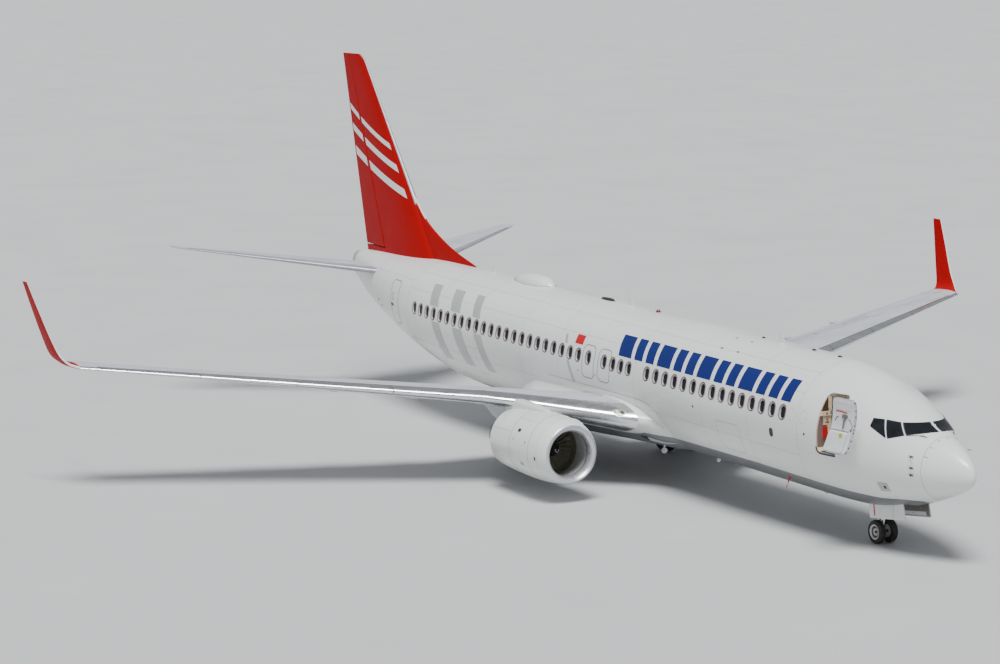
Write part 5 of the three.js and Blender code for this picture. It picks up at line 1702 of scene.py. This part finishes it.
def build_main_gear(label):
    side = SIDES[label]
    x = station_x(MAIN_GEAR_STATION)
    y = side * MAIN_GEAR_Y / 1000
    wheel = WHEELS["main"]
    leg = Build(f"main_leg_{label}", GEAR_PAINT, CHROME, DARK_METAL, BLACK_TRIM)
    axle_z = wheel["radius"] / 1000
    axle = (x, y, axle_z)
    barrel = [(0, 112), (20, 128), (100, 130), (112, 120), (700, 120), (720, 128), (1180, 122)]
    leg.lathe(barrel, (x, y, 1.15), (0, 0, 1), 40)
    leg.lathe([(0, 80), (10, 85), (640, 85), (650, 80)], (x, y, 0.505), (0, 0, 1), 36, 1)
    leg.lathe([(-115, 96), (-100, 108), (100, 108), (115, 96)], axle, (0, 1, 0), 32)
    reach = wheel["spacing"] / 2 + wheel["width"] * 0.32
    leg.lathe([(-reach, 62), (-reach + 8, 73), (reach - 8, 73), (reach, 62)], axle, (0, 1, 0), 32, 1)
    leg.tube([(x, y, 1.3), (x, y - side * 1.25, 1.85)], 56, 0, 20)
    leg.tube([(x + 0.05, y, 1.95), (x + 0.12, y - side * 0.9, 1.78)], 30, 0, 12)
    add_link(leg, (x - 0.06, y, 1.15), (x - 0.33, y, 0.9), 170, 80, 50)
    add_link(leg, (x - 0.33, y, 0.9), (x - 0.06, y, 0.6), 80, 160, 50)
    leg.tube([(x - 0.33, y - 0.06, 0.9), (x - 0.33, y + 0.06, 0.9)], 34, 1, 16)
    brake = [(0, 90), (4, 232), (26, 232), (30, 214), (48, 214), (52, 236), (112, 236), (116, 90)]
    for sign in (1, -1):
        leg.lathe(brake, (x, y + sign * 0.115, axle_z), (0, sign, 0), 48, 2)
        piston = [(0, 22), (sign * 20, 22)]
        ring_of_studs(leg, axle, sign, 170, 100, BRAKE_PISTONS, 0, piston, 12, 0)
        hose = [(x - 0.13, y + sign * 0.05, 1.75), (x - 0.16, y + sign * 0.07, 1.1),
                (x - 0.2, y + sign * 0.09, 0.8), (x - 0.12, y + sign * 0.11, 0.66)]
        leg.tube(hose, 10, 3, 8)
    leg.done("airframe", f"main_gear_leg_{label}", slot="gear_paint")
    name, body = f"main_wheel_{label}", f"main_wheels_{label}"
    build_wheel_pair(f"main_{label}", name, wheel, x, side * MAIN_GEAR_Y, body)


# A nose gear door: corners and stripes as station and height, then levels off the middle plane.
GEAR_DOOR_OUTLINE = [(2640, 1560), (4240, 1330), (4170, 800), (4140, 775), (2500, 985), (2478, 1010)]
GEAR_DOOR_LAYERS = rows(["level", "share"], [[425, 0.985], [428, 1], [452, 1], [455, 0.985]])
GEAR_DOOR_STRIPES = rows(["level", "out", "width", "finish", "path"], [
    [423, -1, 34, 3, [(2610, 1480), (2525, 1020), (2600, 1000), (4120, 800)]],
    # The wide white band low on the inner face is a painted highlight, where the door's curved foot catches
    # the light.
    [423.4, -1, 110, 0, [(2680, 1060), (4080, 872)]],
    [457, 1, 60, 1, [(3925, 880), (4005, 1340)]],
    [457, 1, 16, 3, [(3046, 940), (3046, 1470)]],
])
GEAR_DOOR_KNOBS = [(3900, 900), (2700, 1080), (3300, 990)]


def build_gear_doors():
    middle = [sum(corner[k] for corner in GEAR_DOOR_OUTLINE) / len(GEAR_DOOR_OUTLINE) for k in (0, 1)]
    outline = outline_with_sides(rounded_corners(GEAR_DOOR_OUTLINE, 0.05, 3), 6)
    for label, side in SIDES.items():
        def place(s, z, level, share=1.0):
            s, z = lerp(middle[0], s, share), lerp(middle[1], z, share)
            return Vector((station_x(s), side * level / 1000, z / 1000))

        door = Build(f"nose_door_skin_{label}", WHITE, RED_MARK, DOOR_INSIDE, SEAM, GAP_DARK)
        door.loft([[place(s, z, row["level"], row["share"]) for s, z in outline]
                   for row in GEAR_DOOR_LAYERS])
        door.add([place(s, z, 424, 0.97) for s, z in outline], [tuple(range(len(outline)))], 2)
        out = Vector((0, side, 0))
        for row in GEAR_DOOR_STRIPES:
            path = [(place(s, z, row["level"]), out * row["out"]) for s, z in row["path"]]
            door.ribbon(path, row["width"], row["finish"])
        for s, z in GEAR_DOOR_KNOBS:
            door.lathe([(0, 14), (3, 12)], place(s, z, 422), -out, 14, 4)
        door.done("airframe", f"nose_gear_door_{label}", slot="grey_paint")


# Open service door: the place is that of the middle of its outer skin
DOOR = {"station": 3401, "y": -1880, "z": 3680, "width": 780, "height": 1542, "corner": 150,
        "thickness": 110, "lean": 264, "bulge": 142, "swing": math.radians(15), "tilt": math.radians(3)}
DOOR_ARM = {"station": 4170, "radius": 35, "knuckle": 50, "knuckle_half": 65, "hinge": 0.16}
DOOR_ARMS = rows(["z", "wall_y", "elbow_y", "up"], [
    [3150, -1500, -1850, 0.15],
    [3950, -1300, -1790, 0.67],
])
# The black seal round the foot of the doorway: station and height.
SILL_SEAL = [(4975, 2840), (4968, 2760), (4940, 2700), (4880, 2664), (4790, 2655), (4500, 2655),
             (4250, 2655), (4180, 2670)]
# The wall on the doorway's aft side, in metres but for how far each piece stands off it.
# The dark brown pieces at the top of the wall are painted shade under the doorway's top edge.
DOORWAY_WALL = rows(["outer", "inner", "low", "high", "reach", "finish"], [
    [-1.9, -1.28, 3.77, 4.30, 6, 1],
    [-1.9, -0.80, 2.73, 3.77, 6, 2],
    [-1.384, -1.275, 3.80, 4.28, 34, 0],
    [-1.212, -0.80, 4.16, 4.30, 34, 0],
    [-1.68, -1.307, 3.71, 3.83, 60, 0],
    [-1.565, -1.29, 3.44, 3.725, 22, 0],
    [-1.43, -1.29, 3.23, 3.44, 22, 0],
    [-1.576, -1.43, 3.07, 3.39, 46, 3],
    [-1.50, -1.36, 3.50, 3.53, 26, 4],
    [-1.275, -0.80, 3.82, 4.16, 10, 1],
])
DOORWAY_STUDS = rows(["y", "z", "radius"], [[-1.47, 3.775, 26], [-1.44, 3.60, 20], [-1.40, 3.90, 12]])
SILL = {"inset": 30, "outer": -1.70, "inner": -1.24, "ribs": 9, "pitch": 0.046, "rib": 0.016,
        "first": -1.68}
LATCH_STOPS = [700, 470, 302, 56, -63, -152, -373, -560, -700]


def leaf_point(ahead, up, depth):
    """A point of the leaf: millimetres forward of and over its middle, and outboard of its outer skin."""
    share = up / DOOR["height"]
    shift = DOOR["bulge"] * (2 * share) ** 2 - DOOR["lean"] * share
    level = ahead * math.cos(DOOR["swing"])
    across, tall = math.cos(DOOR["tilt"]), math.sin(DOOR["tilt"])
    return Vector((station_x(DOOR["station"]) + (level * across + up * tall) / 1000,
                   (DOOR["y"] + ahead * math.sin(DOOR["swing"]) - shift - depth) / 1000,
                   (DOOR["z"] - level * tall + up * across) / 1000))


def leaf_outline(left, right, low, high, corner):
    """A field's outline on the leaf, with its sides divided so that they follow the bulge."""
    outline = rounded(right - left, high - low, corner, 6)
    middle_ahead, middle_up = (left + right) / 2, (low + high) / 2
    found = []
    for k, (a, b) in enumerate(zip(outline, outline[1:] + outline[:1])):
        for t in steps(0, 1, 10 if k % 7 == 6 else 1)[:-1]:
            found.append((middle_ahead + lerp(a[0], b[0], t), middle_up + lerp(a[1], b[1], t)))
    return found


def leaf_sheet(build, outline, depth, index):
    """Fills an outline at a depth, with rings that shrink towards its middle."""
    middle = [sum(p[i] for p in outline) / len(outline) for i in (0, 1)]
    rings = [[leaf_point(lerp(middle[0], a, share), lerp(middle[1], u, share), depth) for a, u in outline]
             for share in (1, 0.84, 0.68, 0.52, 0.36, 0.2, 0.06, 0.002)]
    build.loft(rings, index, capped=False)


def leaf_field(build, fields, index):
    """A raised field from its foot to its face: rows of left, right, low, high, corner and depth."""
    outlines = [leaf_outline(*field[:5]) for field in fields]
    depths = [field[5] for field in fields]
    rings = [[leaf_point(a, u, depth) for a, u in outline] for outline, depth in zip(outlines, depths)]
    build.loft(rings, index, capped=False)
    leaf_sheet(build, outlines[-1], depths[-1], index)


def leaf_strip(build, points, depth, width, index):
    path = []
    for ahead, up in points:
        point = leaf_point(ahead, up, depth)
        path.append((point, (leaf_point(ahead, up, depth + 10) - point).normalized()))
    build.ribbon(path, width, index)


def build_leaf_slab(leaf):
    half, high, corner, thick = DOOR["width"] / 2, DOOR["height"] / 2, DOOR["corner"], DOOR["thickness"]
    layers = rows(["inset", "depth", "finish"], [
        [20, 0, 0], [5, 6, 0], [0, 20, 0], [0, thick - 18, 1], [3, thick - 8, 1], [14, thick - 8, 1],
    ])
    outlines = []
    for inset in [row["inset"] for row in layers]:
        wide, tall = half - inset, high - inset
        outlines.append(leaf_outline(-wide, wide, -tall, tall, corner - inset))
    rings = [[leaf_point(a, u, row["depth"]) for a, u in outline] for outline, row in zip(outlines, layers)]
    leaf.loft(rings, capped=False, index_of=lambda i, j: layers[i + 1]["finish"])
    leaf_sheet(leaf, outlines[0], 0, 0)
    leaf_sheet(leaf, outlines[-1], thick - 8, 2)
    leaf_field(leaf, [(-half + 30, half - 26, -high + 24, high - 24, 120, thick - 9),
                      (-half + 32, half - 28, -high + 26, high - 26, 118, thick - 3),
                      (-half + 40, half - 36, -high + 34, high - 34, 112, thick)], 2)
    for up in LATCH_STOPS:
        edge = half if abs(up) < 620 else half - 14
        point = leaf_point(edge, up, thick / 2)
        leaf.lathe([(-8, 24), (2, 24), (8, 15)], point, leaf_point(edge + 20, up, thick / 2) - point, 16, 4)


# What stands on the leaf's inner face, placed ahead of and over its middle, with heights over the face.
# The fields are the slide's pack, the panel high on the leaf, a round cap and the lever's plate.
LEAF_FIELDS = rows(["finish", "layers"], [
    [2, [(-350, 278, -722, -150, 60, 0), (-350, 276, -720, -152, 60, 46),
         (-338, 236, -704, -160, 56, 88), (-318, 204, -686, -172, 50, 98)]],
    [2, [(-300, 250, 440, 700, 60, 0), (-298, 248, 442, 698, 60, 5), (-290, 240, 450, 690, 56, 8)]],
    [7, [(296, 366, -112, -42, 34, 0), (300, 362, -108, -46, 30, 16)]],
    [3, [(-30, 168, 216, 336, 55, 0), (-26, 164, 220, 332, 52, 26), (-12, 150, 232, 320, 42, 34)]],
])
LEAF_STRIPS = rows(["width", "finish", "path"], [
    [42, 5, [(-262, 398), (-51, 396), (100, 382)]],
    [46, 6, [(100, 382), (148, 377)]],
    [26, 4, [(-171, 252), (-210, 224), (-239, 186), (-264, 145), (-279, 101)]],
    [28, 3, [(193, 224), (250, 180), (297, 124), (335, 65), (357, 17), (352, -30), (335, -75)]],
])
LEAF_RODS = rows(["height", "radius", "path"], [
    [50, [24, 24, 20, 22, 15], [(62, 276), (104, 214), (80, 90), (89, -40), (91, -66)]],
    [8, 9, [(-352, -136), (-60, -134), (262, -138)]],
])
LEAF_PLATE = {"height": 101, "corners": [(46, -202), (151, -173), (187, -294), (92, -327)]}


def build_leaf_inside(leaf):
    thick = DOOR["thickness"]
    for row in LEAF_FIELDS:
        leaf_field(leaf, [(*field[:5], thick + field[5]) for field in row["layers"]], row["finish"])
    for row in LEAF_STRIPS:
        leaf_strip(leaf, row["path"], thick + 4, row["width"], row["finish"])
    for row in LEAF_RODS:
        path = [leaf_point(ahead, up, thick + row["height"]) for ahead, up in row["path"]]
        leaf.tube(path, row["radius"], 3, 14)
    plate = [leaf_point(ahead, up, thick + LEAF_PLATE["height"]) for ahead, up in LEAF_PLATE["corners"]]
    leaf.add(plate, [(0, 1, 2, 3)], 8)


def build_door_arms(leaf):
    x = station_x(DOOR_ARM["station"])
    radius = DOOR_ARM["radius"]
    for arm in DOOR_ARMS:
        z = arm["z"] / 1000
        elbow = Vector((x, arm["elbow_y"] / 1000, z))
        ahead, up = (DOOR_ARM["hinge"] - 0.5) * DOOR["width"], (arm["up"] - 0.5) * DOOR["height"]
        leaf.tube([(x, arm["wall_y"] / 1000, z), elbow], radius, 3, 20)
        leaf.tube([elbow, leaf_point(ahead, up, DOOR["thickness"] / 2)], [radius, radius * 0.85], 3, 20)
        half, knuckle = DOOR_ARM["knuckle_half"], DOOR_ARM["knuckle"]
        drum = [(-half, knuckle * 0.6), (8 - half, knuckle), (half - 8, knuckle), (half, knuckle * 0.6)]
        leaf.lathe(drum, elbow, (0, 0, 1), 28, 3)


def build_service_door():
    leaf = Build("service_door_leaf", WHITE, LIP_METAL, CABIN_PANEL, LEVER_GREY, BLACK_TRIM, RED_MARK,
                 ORANGE_MARK, CABIN_ROSE, YELLOW_MARK)
    build_leaf_slab(leaf)
    build_leaf_inside(leaf)
    build_door_arms(leaf)
    leaf.done("airframe", "door_front_right", slot="white_paint")

    around = Build("service_doorway_frame", SEAM, BLACK_TRIM)
    centre_s = (DOORWAY["aft"] + DOORWAY["fore"]) / 2
    width, height = DOORWAY["aft"] - DOORWAY["fore"], DOORWAY["height"]
    path = []
    for ahead, up in outline_with_sides(rounded(width + 14, height + 14, DOORWAY["corner"] + 7, 8), 12):
        s = centre_s - ahead
        path.append(on_skin(s, DOORWAY["sill"] + height / 2 + up - axis_height(s), -1, 2.2))
    around.ribbon(path, 22, 0, closed=True)
    around.ribbon([on_skin(s, z - axis_height(s), -1, 4) for s, z in SILL_SEAL], 58, 1)
    around.done("airframe", slot="grey_paint")
    build_doorway_inside()


def build_doorway_inside():
    """The wall that is seen through the doorway, whose pieces end inside the skin, and the ribbed sill."""
    inside = Build("doorway_inside", LINING, CABIN_PAINTED_SHADE, CABIN_ROSE, RED_MARK, GAP_DARK)
    s = DOORWAY["aft"]
    wall = station_x(s)

    def rim(z):
        return on_skin(s, z * 1000 - axis_height(s), -1)[0].y + 0.022

    for row in DOORWAY_WALL:
        inner, low, high = row["inner"], row["low"], row["high"]
        outer = [(max(row["outer"], rim(z)), z) for z in steps(low, high, 8)]
        section = [(y, z) for y, z in outer if y < inner] + [(inner, high), (inner, low)]
        faces = [[Vector((wall + x, y, z)) for y, z in section] for x in (-0.002, row["reach"] / 1000)]
        inside.loft(faces, row["finish"])
    for row in DOORWAY_STUDS:
        radius = row["radius"]
        stud = [(0, radius), (70, radius), (76, radius * 0.7)]
        inside.lathe(stud, (wall, row["y"], row["z"]), (1, 0, 0), 16, 4)
    floor = DOORWAY["sill"] / 1000 + 0.001
    x0, x1 = station_x(DOORWAY["aft"] - SILL["inset"]), station_x(DOORWAY["fore"] + SILL["inset"])
    inside.block((x0, SILL["outer"], floor), (x1, SILL["inner"], floor + 0.015), 4)
    for k in range(SILL["ribs"]):
        y = SILL["first"] + SILL["pitch"] * k
        inside.block((x0 + 0.02, y, floor + 0.015), (x1 - 0.02, y + SILL["rib"], floor + 0.02), 1)
    inside.done("airframe", slot="grey_paint")


# Cockpit panes: corners as station and level, in order round each pane of one side. The inner edge
# of the front pane follows the crown beside the centre post.
CROWN_EDGE = [(s, body_values(s)[1] - 2) for s in (1530, 1640, 1750, 1850, 1952)]
PANES = [
    [(2003, 367)] + CROWN_EDGE + [(2301, 668)],
    [(2048, 356), (2352, 668), (2722, 702), (2438, 236)],
    [(2492, 240), (2778, 703), (3093, 704), (3074, 487)],
]
POST_HALF = 38
# How far the black frame and the glass reach past these corners, as shares of a pane.
PANE_FRAME = 0.048
PANE_GLASS = -0.015
# A wiper's arm and blade.
WIPER = rows(["lift", "radius", "sides", "path"], [
    [22, 9, 8, [(1510, 346), (1580, 358), (1700, 372)]],
    [14, 6, 6, [(1600, 378), (1800, 372), (2000, 358)]],
])


def pane_point(s, level, side, lift):
    """A point of the skin that keeps clear of the centre post."""
    angle = side * max(abs(skin_angle(s, level, side)), math.asin(POST_HALF / body_values(s)[0]))
    normal = skin_normal(s, angle)
    return skin(s, angle) + normal * lift / 1000, normal


def pane_outline(corners, grow):
    """The middle of a pane and its outline, which has grown by a share of its size."""
    centre = [sum(c[i] for c in corners) / len(corners) for i in (0, 1)]
    wide = [tuple(lerp(centre[i], c[i], 1 + grow) for i in (0, 1)) for c in corners]
    return centre, outline_with_sides(rounded_corners(wide), 6, 80)


def fill_pane(build, centre, outline, side, lift, index):
    sheets = []
    for share in steps(1, 0.005, 6):
        sheets.append([pane_point(lerp(centre[0], s, share), lerp(centre[1], z, share), side, lift)[0]
                       for s, z in outline])
    build.loft(sheets, index, capped=False)


def build_cockpit():
    band = Build("cockpit_band", BLACK_TRIM, GLASS)
    for side in SIDES.values():
        for corners in PANES:
            fill_pane(band, *pane_outline(corners, PANE_FRAME), side, 2.0, 0)
            centre, outline = pane_outline(corners, PANE_GLASS)
            fill_pane(band, centre, outline, side, 5.0, 1)
            band.ribbon([pane_point(s, z, side, 5.5) for s, z in outline], 12, 0, closed=True)
        for row in WIPER:
            path = [on_skin(s, z, side, row["lift"])[0] for s, z in row["path"]]
            band.tube(path, row["radius"], 0, row["sides"])
    band.done("airframe", "cockpit_glazing", slot="cockpit_glass")


# Antenna dome and small fittings
DOME_HALF = 430
DOME_HEIGHT = 370
DOME = rows(["s", "size"], [
    [23000, 0.04], [23200, 0.5], [23600, 0.88], [24200, 1], [24900, 0.85], [25400, 0.45], [25650, 0.04],
])
DOME_SINK = 60
# Blade antennas: station, angle from the crown, sizes, finish, and how they lean and narrow.
BLADES = rows(["s", "angle", "chord", "height", "half", "finish", "lean", "tip"], [
    [17940, 0, 250, 400, 18, 0, 0.45, 0.55],
    [9300, 0, 320, 260, 17, 0, 0.45, 0.55],
    [12700, math.pi, 300, 220, 16, 0, 0.45, 0.55],
    [22500, math.pi, 300, 240, 16, 0, 0.45, 0.55],
    [27200, 0, 260, 150, 14, 0, 0.45, 0.55],
    [6900, math.pi, 240, 140, 14, 0, 0.45, 0.55],
    [10299, 0, 170, 36, 42, 1, 0.1, 0.75],
    [7645, 0, 200, 40, 50, 1, 0.1, 0.75],
    [6339, 0, 220, 34, 55, 1, 0.1, 0.75],
    [19440, 0, 880, 62, 100, 1, 0.1, 0.75],
])
PROBES = rows(["s", "level"], [[1616, -160], [1565, -460], [1572, -660]])
PROBE_LENGTH = 170
PORTS = rows(["s", "level", "finish"], [
    [11340, -210, 0], [5500, -90, 0], [18200, -110, 3], [17120, -110, 3],
])
SERVICE_PORT = {"s": 7124, "level": -300, "width": 200, "height": 270, "corner": 95}
POWER_PANEL = {"s": 2605, "level": -1170}
POWER_SPOTS = rows(["s", "length", "tall", "finish", "lift"], [
    [2605, 350, 300, 3, 2],
    [2605, 325, 275, 4, 3],
    [2560, 90, 100, 0, 4],
])
DRAIN_MAST = {"s": 7210, "level": -1700}
BEACONS = rows(["s", "angle", "z"], [[16330, 0, None], [15900, math.pi, 1.134]])
BEACON_FOOT = [(-12, 92), (10, 88), (26, 74)]
BEACON_GLASS = [(20, 68), (52, 62), (76, 44), (88, 22), (91, 2)]
# The landing lamp in the wing root, as ovals: middle and half axes as span place and chord share.
ROOT_LAMP = rows(["centre", "long", "short", "finish", "lift"], [
    [(2380, 0.0247), (165, 0.0015), (-72, 0.0232), 2, 0.003],
    [(2380, 0.0247), (148, 0.001), (-64, 0.0205), 4, 0.005],
    [(2325, 0.0225), (48, 0), (-24, 0.0105), 3, 0.007],
    [(2440, 0.0262), (40, 0), (-20, 0.009), 1, 0.007],
])
TIP_LAMP_Y = 16750
WING_WICKS = [16350, 16450]
TAIL_WICKS = [6930, 7050]


def build_dome():
    places, sizes = [row["s"] for row in DOME], [row["size"] for row in DOME]
    stations = [lerp(places[0], places[-1], (1 - math.cos(math.pi * t)) / 2) for t in steps(0, 1, 36)]
    dome = Build("antenna_dome_skin", WHITE, DOOR_LINE)
    rings = []
    for s in stations:
        size = curve_value(places, sizes, s)
        foot = axis_height(s) + CABIN_RADIUS - DOME_SINK
        rings.append([Vector((station_x(s), DOME_HALF * size * math.sin(a) / 1000,
                              (foot + DOME_HEIGHT * size * math.cos(a)) / 1000))
                      for a in steps(0, 2 * math.pi, 48)[:-1]])
    dome.loft(rings)
    # A dark line along the dome's foot on each side: partly its seal, partly painted shade where the dome
    # meets the skin.
    for side in SIDES.values():
        path = []
        for s in stations[2:-2]:
            size = curve_value(places, sizes, s)
            y = side * DOME_HALF * size * 0.985
            angle = math.asin(clamp(y / CABIN_RADIUS, -1, 1))
            path.append((skin(s, angle) + skin_normal(s, angle) * 0.003, skin_normal(s, angle)))
        dome.ribbon(path, 34, 1)
    dome.done("airframe", "antenna_dome", slot="white_paint")


def add_blade(build, row):
    """A swept blade antenna standing on the skin."""
    normal = skin_normal(row["s"], row["angle"])
    foot = skin(row["s"], row["angle"])
    across = Vector((1, 0, 0)).cross(normal).normalized()
    rings = []
    for t in steps(0, 1, 5):
        size, rise = lerp(1, row["tip"], t), row["height"] * t
        ring = []
        for a in steps(0, 2 * math.pi, 14)[:-1]:
            back = -(math.cos(a) * row["chord"] / 2 * size + row["lean"] * rise) / 1000
            wide = math.sin(a) * row["half"] * size / 1000
            ring.append(foot + Vector((back, 0, 0)) + across * wide + normal * rise / 1000)
        rings.append(ring)
    build.loft(rings, row["finish"])


def vane_probe(build, s, level, side):
    point, normal = on_skin(s, level, side)
    skin_spot(build, s, skin_angle(s, level, side), 150, 66, 3, 2)
    build.lathe([(-4, 30), (6, 30), (9, 22)], point, normal, 20)
    ahead = Vector((1, 0, 0.12)).normalized()
    elbow = point + normal * 0.075
    path = [point, point + normal * 0.05, elbow + ahead * 0.03, elbow + ahead * PROBE_LENGTH / 1000]
    build.tube(path, [17, 15, 12, 8])


# Small dark drains, ports and inlets: station, angle from the crown, length and height.
BODY_TICKS = [
    (10989, -0.593, 120, 50), (10117, -0.591, 120, 50), (10188, -0.27, 120, 45), (11029, -0.262, 120, 45),
    (33938, -1.892, 170, 50), (33751, -2.014, 170, 50), (32867, -2.453, 420, 160),
]


def build_fittings():
    small = Build("probes_and_fittings", BLACK_TRIM, WHITE, RED_MARK, SEAM, BAND_GREY)
    for side in SIDES.values():
        for row in PROBES:
            vane_probe(small, row["s"], row["level"], side)
        for row in PORTS:
            point, normal = on_skin(row["s"], row["level"], side)
            small.lathe([(-4, 40), (6, 36), (10, 20)], point, normal, 18, row["finish"])
    port = SERVICE_PORT
    outline = rounded(port["width"], port["height"], port["corner"], 6)
    skin_patch(small, port["s"], port["level"], -1, outline)
    angle = skin_angle(POWER_PANEL["s"], POWER_PANEL["level"], -1)
    for row in POWER_SPOTS:
        skin_spot(small, row["s"], angle, row["length"], row["tall"], row["finish"], row["lift"])
    for s, angle, length, tall in BODY_TICKS:
        skin_spot(small, s, angle, length, tall, 0)
    mast = on_skin(DRAIN_MAST["s"], DRAIN_MAST["level"], -1)[0]
    path = [mast, mast + Vector((-0.03, -0.02, -0.12)), mast + Vector((-0.12, -0.03, -0.34))]
    small.tube(path, [30, 24, 12], 2, 12)
    sleeve = [mast + Vector((-0.045, -0.022, -0.165)), mast + Vector((-0.08, -0.027, -0.25))]
    small.tube(sleeve, [26, 22], 1, 12)
    small.done("airframe", slot="grey_paint")

    masts = Build("antennas", WHITE, BLACK_TRIM)
    for row in BLADES:
        add_blade(masts, row)
    masts.done("airframe", slot="white_paint")
    build_lamps()
    build_wicks()


def build_lamps():
    lamps = Build("lamps", BEACON_RED, LAMP_GLASS, LIP_METAL, BLACK_TRIM, LAMP_HOUSING)
    for row in BEACONS:
        s, angle = row["s"], row["angle"]
        point = Vector((station_x(s), 0, row["z"])) if row["z"] else skin(s, angle)
        lamps.lathe(BEACON_FOOT, point, skin_normal(s, angle), 28, 3)
        lamps.lathe(BEACON_GLASS, point, skin_normal(s, angle), 28, 0)
    for side in SIDES.values():
        wing = Surface(WING, side, WING_CAMBER)
        for row in ROOT_LAMP:
            surface_spot(lamps, wing, row["centre"], row["long"], row["short"], row["finish"], row["lift"])
        section = wing.section(TIP_LAMP_Y)
        lamps.tube([section.point(0.003), section.point(0.05)], [26, 40], 1, 12)
    lamps.done("airframe", slot="cockpit_glass")


def build_wicks():
    wicks = Build("static_wicks", BLACK_TRIM)
    for side in SIDES.values():
        for table, camber, places, length in ((WING, WING_CAMBER, WING_WICKS, 0.13),
                                              (TAILPLANE, 0, TAIL_WICKS, 0.05)):
            for v in places:
                edge = Surface(table, side, camber).section(v).rear
                wicks.tube([edge + Vector((0.02, 0, 0)), edge - Vector((length, 0, 0))], 4, 0, 6)
    wicks.done("airframe", slot="fan_metal")


# Stage, lights and camera
CAMERA_PLACE = (84.18, -50.066, 18.138)
CAMERA_YAW = 151.252
CAMERA_PITCH = -8.095
CAMERA_ROLL = -0.386
CAMERA_LENS = 108.23
SENSOR_WIDTH = 36
CLIP_END = 5000
FLOOR_REACH = 1500
SKY_COLOUR = (0.88, 0.92, 0.98, 1)
SKY_STRENGTH = 0.36


def build_camera():
    yaw, pitch, roll = [math.radians(a) for a in (CAMERA_YAW, CAMERA_PITCH, CAMERA_ROLL)]
    ahead = Vector((math.cos(yaw) * math.cos(pitch), math.sin(yaw) * math.cos(pitch), math.sin(pitch)))
    level = Vector((math.sin(yaw), -math.cos(yaw), 0))
    up = level.cross(ahead)
    right = level * math.cos(roll) + up * math.sin(roll)
    upright = up * math.cos(roll) - level * math.sin(roll)
    data = bpy.data.cameras.new("camera")
    data.lens = CAMERA_LENS
    data.sensor_width = SENSOR_WIDTH
    data.sensor_fit = "HORIZONTAL"
    data.clip_end = CLIP_END
    camera = bpy.data.objects.new("camera", data)
    turn = Matrix((right, upright, -ahead)).transposed().to_4x4()
    camera.matrix_world = Matrix.Translation(CAMERA_PLACE) @ turn
    bpy.context.collection.objects.link(camera)
    bpy.context.scene.camera = camera


def add_sun(name, energy, spread, direction):
    data = bpy.data.lights.new(name, "SUN")
    data.energy = energy
    data.angle = math.radians(spread)
    lamp = bpy.data.objects.new(name, data)
    lamp.rotation_euler = Vector(direction).to_track_quat("-Z", "Y").to_euler()
    bpy.context.collection.objects.link(lamp)


def build_stage():
    places = steps(-FLOOR_REACH, FLOOR_REACH, 12)
    build = Build("floor", FLOOR)
    build.grid([[(x, y, 0) for y in places] for x in places])
    floor = build.made()
    world = bpy.data.worlds.new("studio")
    world.use_nodes = True
    background = world.node_tree.nodes["Background"]
    background.inputs["Color"].default_value = SKY_COLOUR
    background.inputs["Strength"].default_value = SKY_STRENGTH
    bpy.context.scene.world = world
    add_sun("key", 4.3, 24, (-0.32, 0.2, -0.93))
    add_sun("fill", 0.25, 60, (-0.3, 0.9, -0.35))


build_body()
build_body_seams()
build_markings()
build_fairing()
for label in SIDES:
    build_wing(label)
    build_winglet(label)
    build_engine(label)
    build_main_gear(label)
build_tail()
build_nose_gear()
build_gear_doors()
build_service_door()
build_cockpit()
build_dome()
build_fittings()
build_camera()
build_stage()
